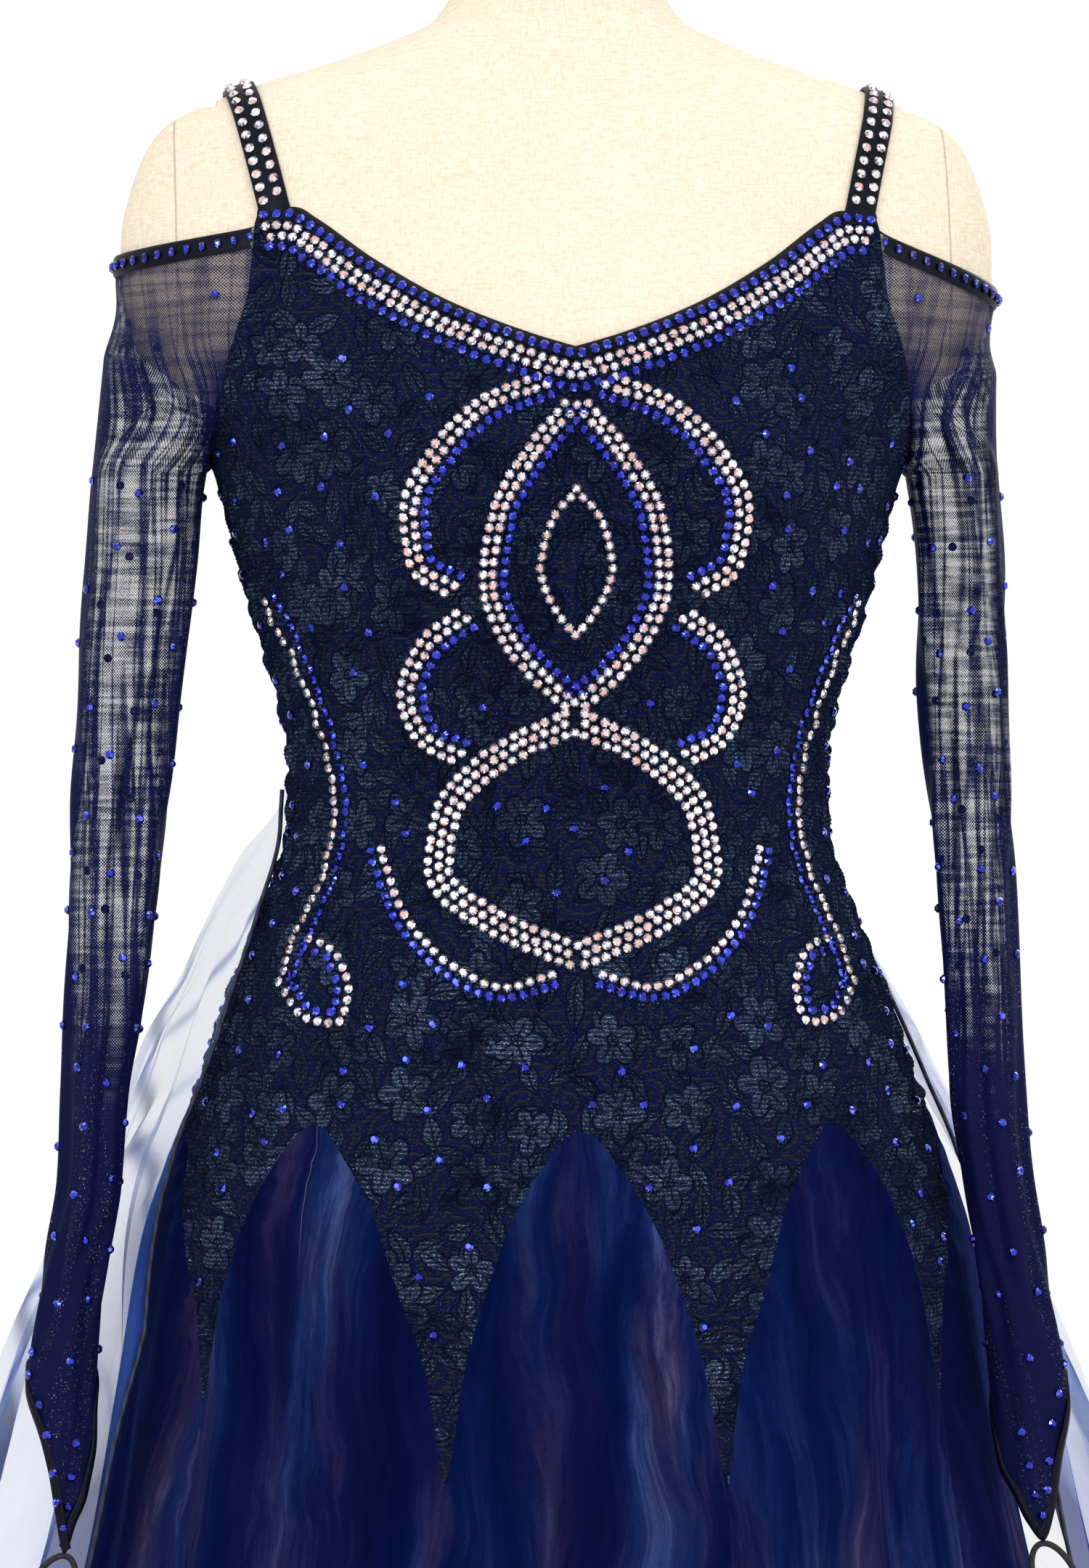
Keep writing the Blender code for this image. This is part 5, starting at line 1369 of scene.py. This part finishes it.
# Blue stones on the sleeves: a row along the band, and scattered to the cuff
for side, sign in SIDES.items():
    cuff_level = sleeve_shapes[side][1]
    across = np.linspace(0.0, 1.0, 120)
    angle = sign * lerp(44.4, 135.6, across)
    height = 1.3455 - SLEEVE_TOP_DROP[side] * np.sin(across * math.pi) ** 0.8
    line = evenly(body_point(angle, height, 0.0014), 0.0085)
    outward = line * (1, 1, 0) / np.linalg.norm(line[:, :2], axis=1, keepdims=True)
    set_stones("blue", line, outward)
    for row in range(17):
        for place in range(5):
            turn = place * 72 + row * 31 + chance.uniform(-12, 12)
            height = 1.225 - row * 0.026 + chance.uniform(-0.007, 0.007)
            sleeve_stone(side, turn, height)
    for place in range(9):
        body_turn = sign * (52 + place * 9.5)
        height = 1.318 - (place * 37 % 50) / 1000
        point = body_point(body_turn, height)
        if height > 1.285:
            set_stones("blue", [point], [body_normal(body_turn, height)], SLEEVE_STONE)
    # Pairs of stones up the cuff's point
    for turn, lift in (
        (0, 0.012), (-9, 0.022), (9, 0.024), (-16, 0.036), (14, 0.038), (-24, 0.052), (24, 0.056),
        (40, 0.070), (62, 0.084),
    ):
        height = float(cuff_level(0)) + lift
        if height < float(cuff_level(abs(turn))) + 0.004:
            height = float(cuff_level(abs(turn))) + 0.006
        sleeve_stone(side, turn, height, 0.0003)


def stone_material(name, stops, roughness):
    """Cut glass with a foil back: mirror-bright facets, each with its own tint of the coating."""
    material, tree, shader = new_material(name)
    tint = node(tree, "Attribute", attribute_name="facet").outputs["Fac"]
    colour = node(tree, "ValToRGB", tint, stops=stops)
    connect(
        shader,
        {
            "Base Color": colour, "Metallic": 0.85, "Roughness": roughness, "Coat Weight": 0.6,
            "Coat Roughness": 0.03,
        },
    )
    return material


def stones_mesh(name, rows):
    """All stones of a kind as one mesh: a flat table, eight crown facets and a low wall on each."""
    rows = np.array(rows)
    count, sides = len(rows), 8
    normal = unit(rows[:, 3:6])
    helper = np.where(np.abs(normal[:, 2:3]) > 0.9, (1.0, 0, 0), (0, 0, 1.0))
    first = unit(np.cross(helper, normal))
    second = np.cross(normal, first)
    spin = np.random.default_rng(3).uniform(0, math.pi, count)
    turns = np.arange(sides) * 2 * math.pi / sides
    ring = []
    for radius, lift, twist in ((1.0, -0.1, 0), (1.0, 0.35, 0), (0.52, 1.0, math.pi / sides)):
        angle = spin[:, None] + turns[None] + twist
        offset = first[:, None] * np.cos(angle)[..., None] + second[:, None] * np.sin(angle)[..., None]
        size = rows[:, 6][:, None, None]
        out = offset * STONE_RADIUS * radius + normal[:, None] * STONE_HEIGHT * lift
        ring.append(rows[:, None, :3] + out * size)
    points = np.stack(ring, axis=1).reshape(-1, 3)
    faces, tints = [], []
    shades = np.random.default_rng(5)
    for stone in range(count):
        base = stone * 3 * sides
        for side in range(sides):
            after = (side + 1) % sides
            wall, crown, table = base, base + sides, base + 2 * sides
            faces.append((wall + side, wall + after, crown + after, crown + side))
            faces.append((crown + side, crown + after, table + side))
            faces.append((crown + after, table + after, table + side))
            tints += [shades.uniform(0.0, 0.3), shades.uniform(0, 1), shades.uniform(0, 1)]
        faces.append(tuple(base + 2 * sides + side for side in range(sides)))
        tints.append(shades.uniform(0.35, 0.75))
    mesh = bpy.data.meshes.new(name)
    mesh.from_pydata(points.tolist(), [], faces)
    stored = mesh.attributes.new("facet", "FLOAT", "FACE")
    stored.data.foreach_set("value", np.array(tints, np.float32))
    mesh.update()
    return mesh


crystal = stone_material(
    "rainbow_crystal",
    [
        (0.0, "#4d4652"), (0.20, "#ab9da6"), (0.38, "#ffffff"), (0.56, "#e9e4ea"), (0.70, "#f2b7a6"),
        (0.86, "#9dbccb"), (1.0, "#f3eeff"),
    ],
    0.10,
)
royal_blue = stone_material(
    "royal_blue_glass", [(0.0, "#04073a"), (0.40, "#0c1590"), (0.75, "#1f35cf"), (1.0, "#7d95ff")], 0.12
)
add_piece("crystal_stones", stones_mesh("crystal_stones", stones["crystal"]), crystal)
add_piece("blue_stones", stones_mesh("blue_stones", stones["blue"]), royal_blue)


# Studio: a pale floor, even white surroundings and large soft lamps. It isn't part of the dress, so only
# the pictures have it.
bpy.ops.mesh.primitive_plane_add(size=9, location=(0, 0, -0.0005))
floor = bpy.context.active_object
floor.name = "studio_floor"
floor_finish, tree, shader = new_material("pale_floor")
place = node(tree, "TexCoord").outputs["Object"]
cloud = node(tree, "TexNoise", Vector=place, Scale=3.0, Detail=3.0)
colour = node(tree, "ValToRGB", cloud, stops=[(0.3, "#eeeef0"), (0.7, "#f4f4f5")])
connect(shader, {"Base Color": colour, "Roughness": 0.8})
floor.data.materials.append(floor_finish)

world = bpy.data.worlds.new("white_studio")
bpy.context.scene.world = world
world.use_nodes = True
world.node_tree.nodes["Background"].inputs[0].default_value = (1.0, 1.0, 1.0, 1.0)
world.node_tree.nodes["Background"].inputs[1].default_value = 1.0
bpy.context.scene.view_settings.view_transform = "Standard"

# Lamps: name, place, size and power in watts, all aimed at the chest
AIM = np.array([0.0, 0.0, 1.10])
for name, place, size, power in (
    ("key", (-1.6, -2.4, 2.1), 1.2, 26),
    ("fill", (1.9, -2.1, 1.5), 1.4, 15),
    ("top", (0.2, -0.6, 2.9), 1.0, 9),
    ("rim", (1.2, 1.6, 1.9), 0.9, 10),
):
    bpy.ops.object.light_add(type="AREA", location=place)
    lamp = bpy.context.active_object
    lamp.name = name
    lamp.data.size = size
    lamp.data.energy = power
    away = np.array(place) - AIM
    lamp.rotation_euler = (
        math.acos(away[2] / np.linalg.norm(away)),
        0,
        math.atan2(away[1], away[0]) + math.pi / 2,
    )

# Camera: straight on at chest height, a little to the viewer's left of the centre line
CAMERA_TURN, CAMERA_DISTANCE, FRAME_HEIGHT = math.radians(-4.5), 3.0, 0.7776
CAMERA_AIM = np.array([-0.0068, 0.0, 1.081])
bpy.ops.object.camera_add()
camera = bpy.context.active_object
camera.name = "camera"
towards_camera = np.array([math.sin(CAMERA_TURN), -math.cos(CAMERA_TURN), 0])
camera.location = CAMERA_AIM + CAMERA_DISTANCE * towards_camera
camera.rotation_euler = (math.radians(90), 0, CAMERA_TURN)
camera.data.sensor_width = 36
camera.data.lens = 36 * CAMERA_DISTANCE / FRAME_HEIGHT
bpy.context.scene.camera = camera
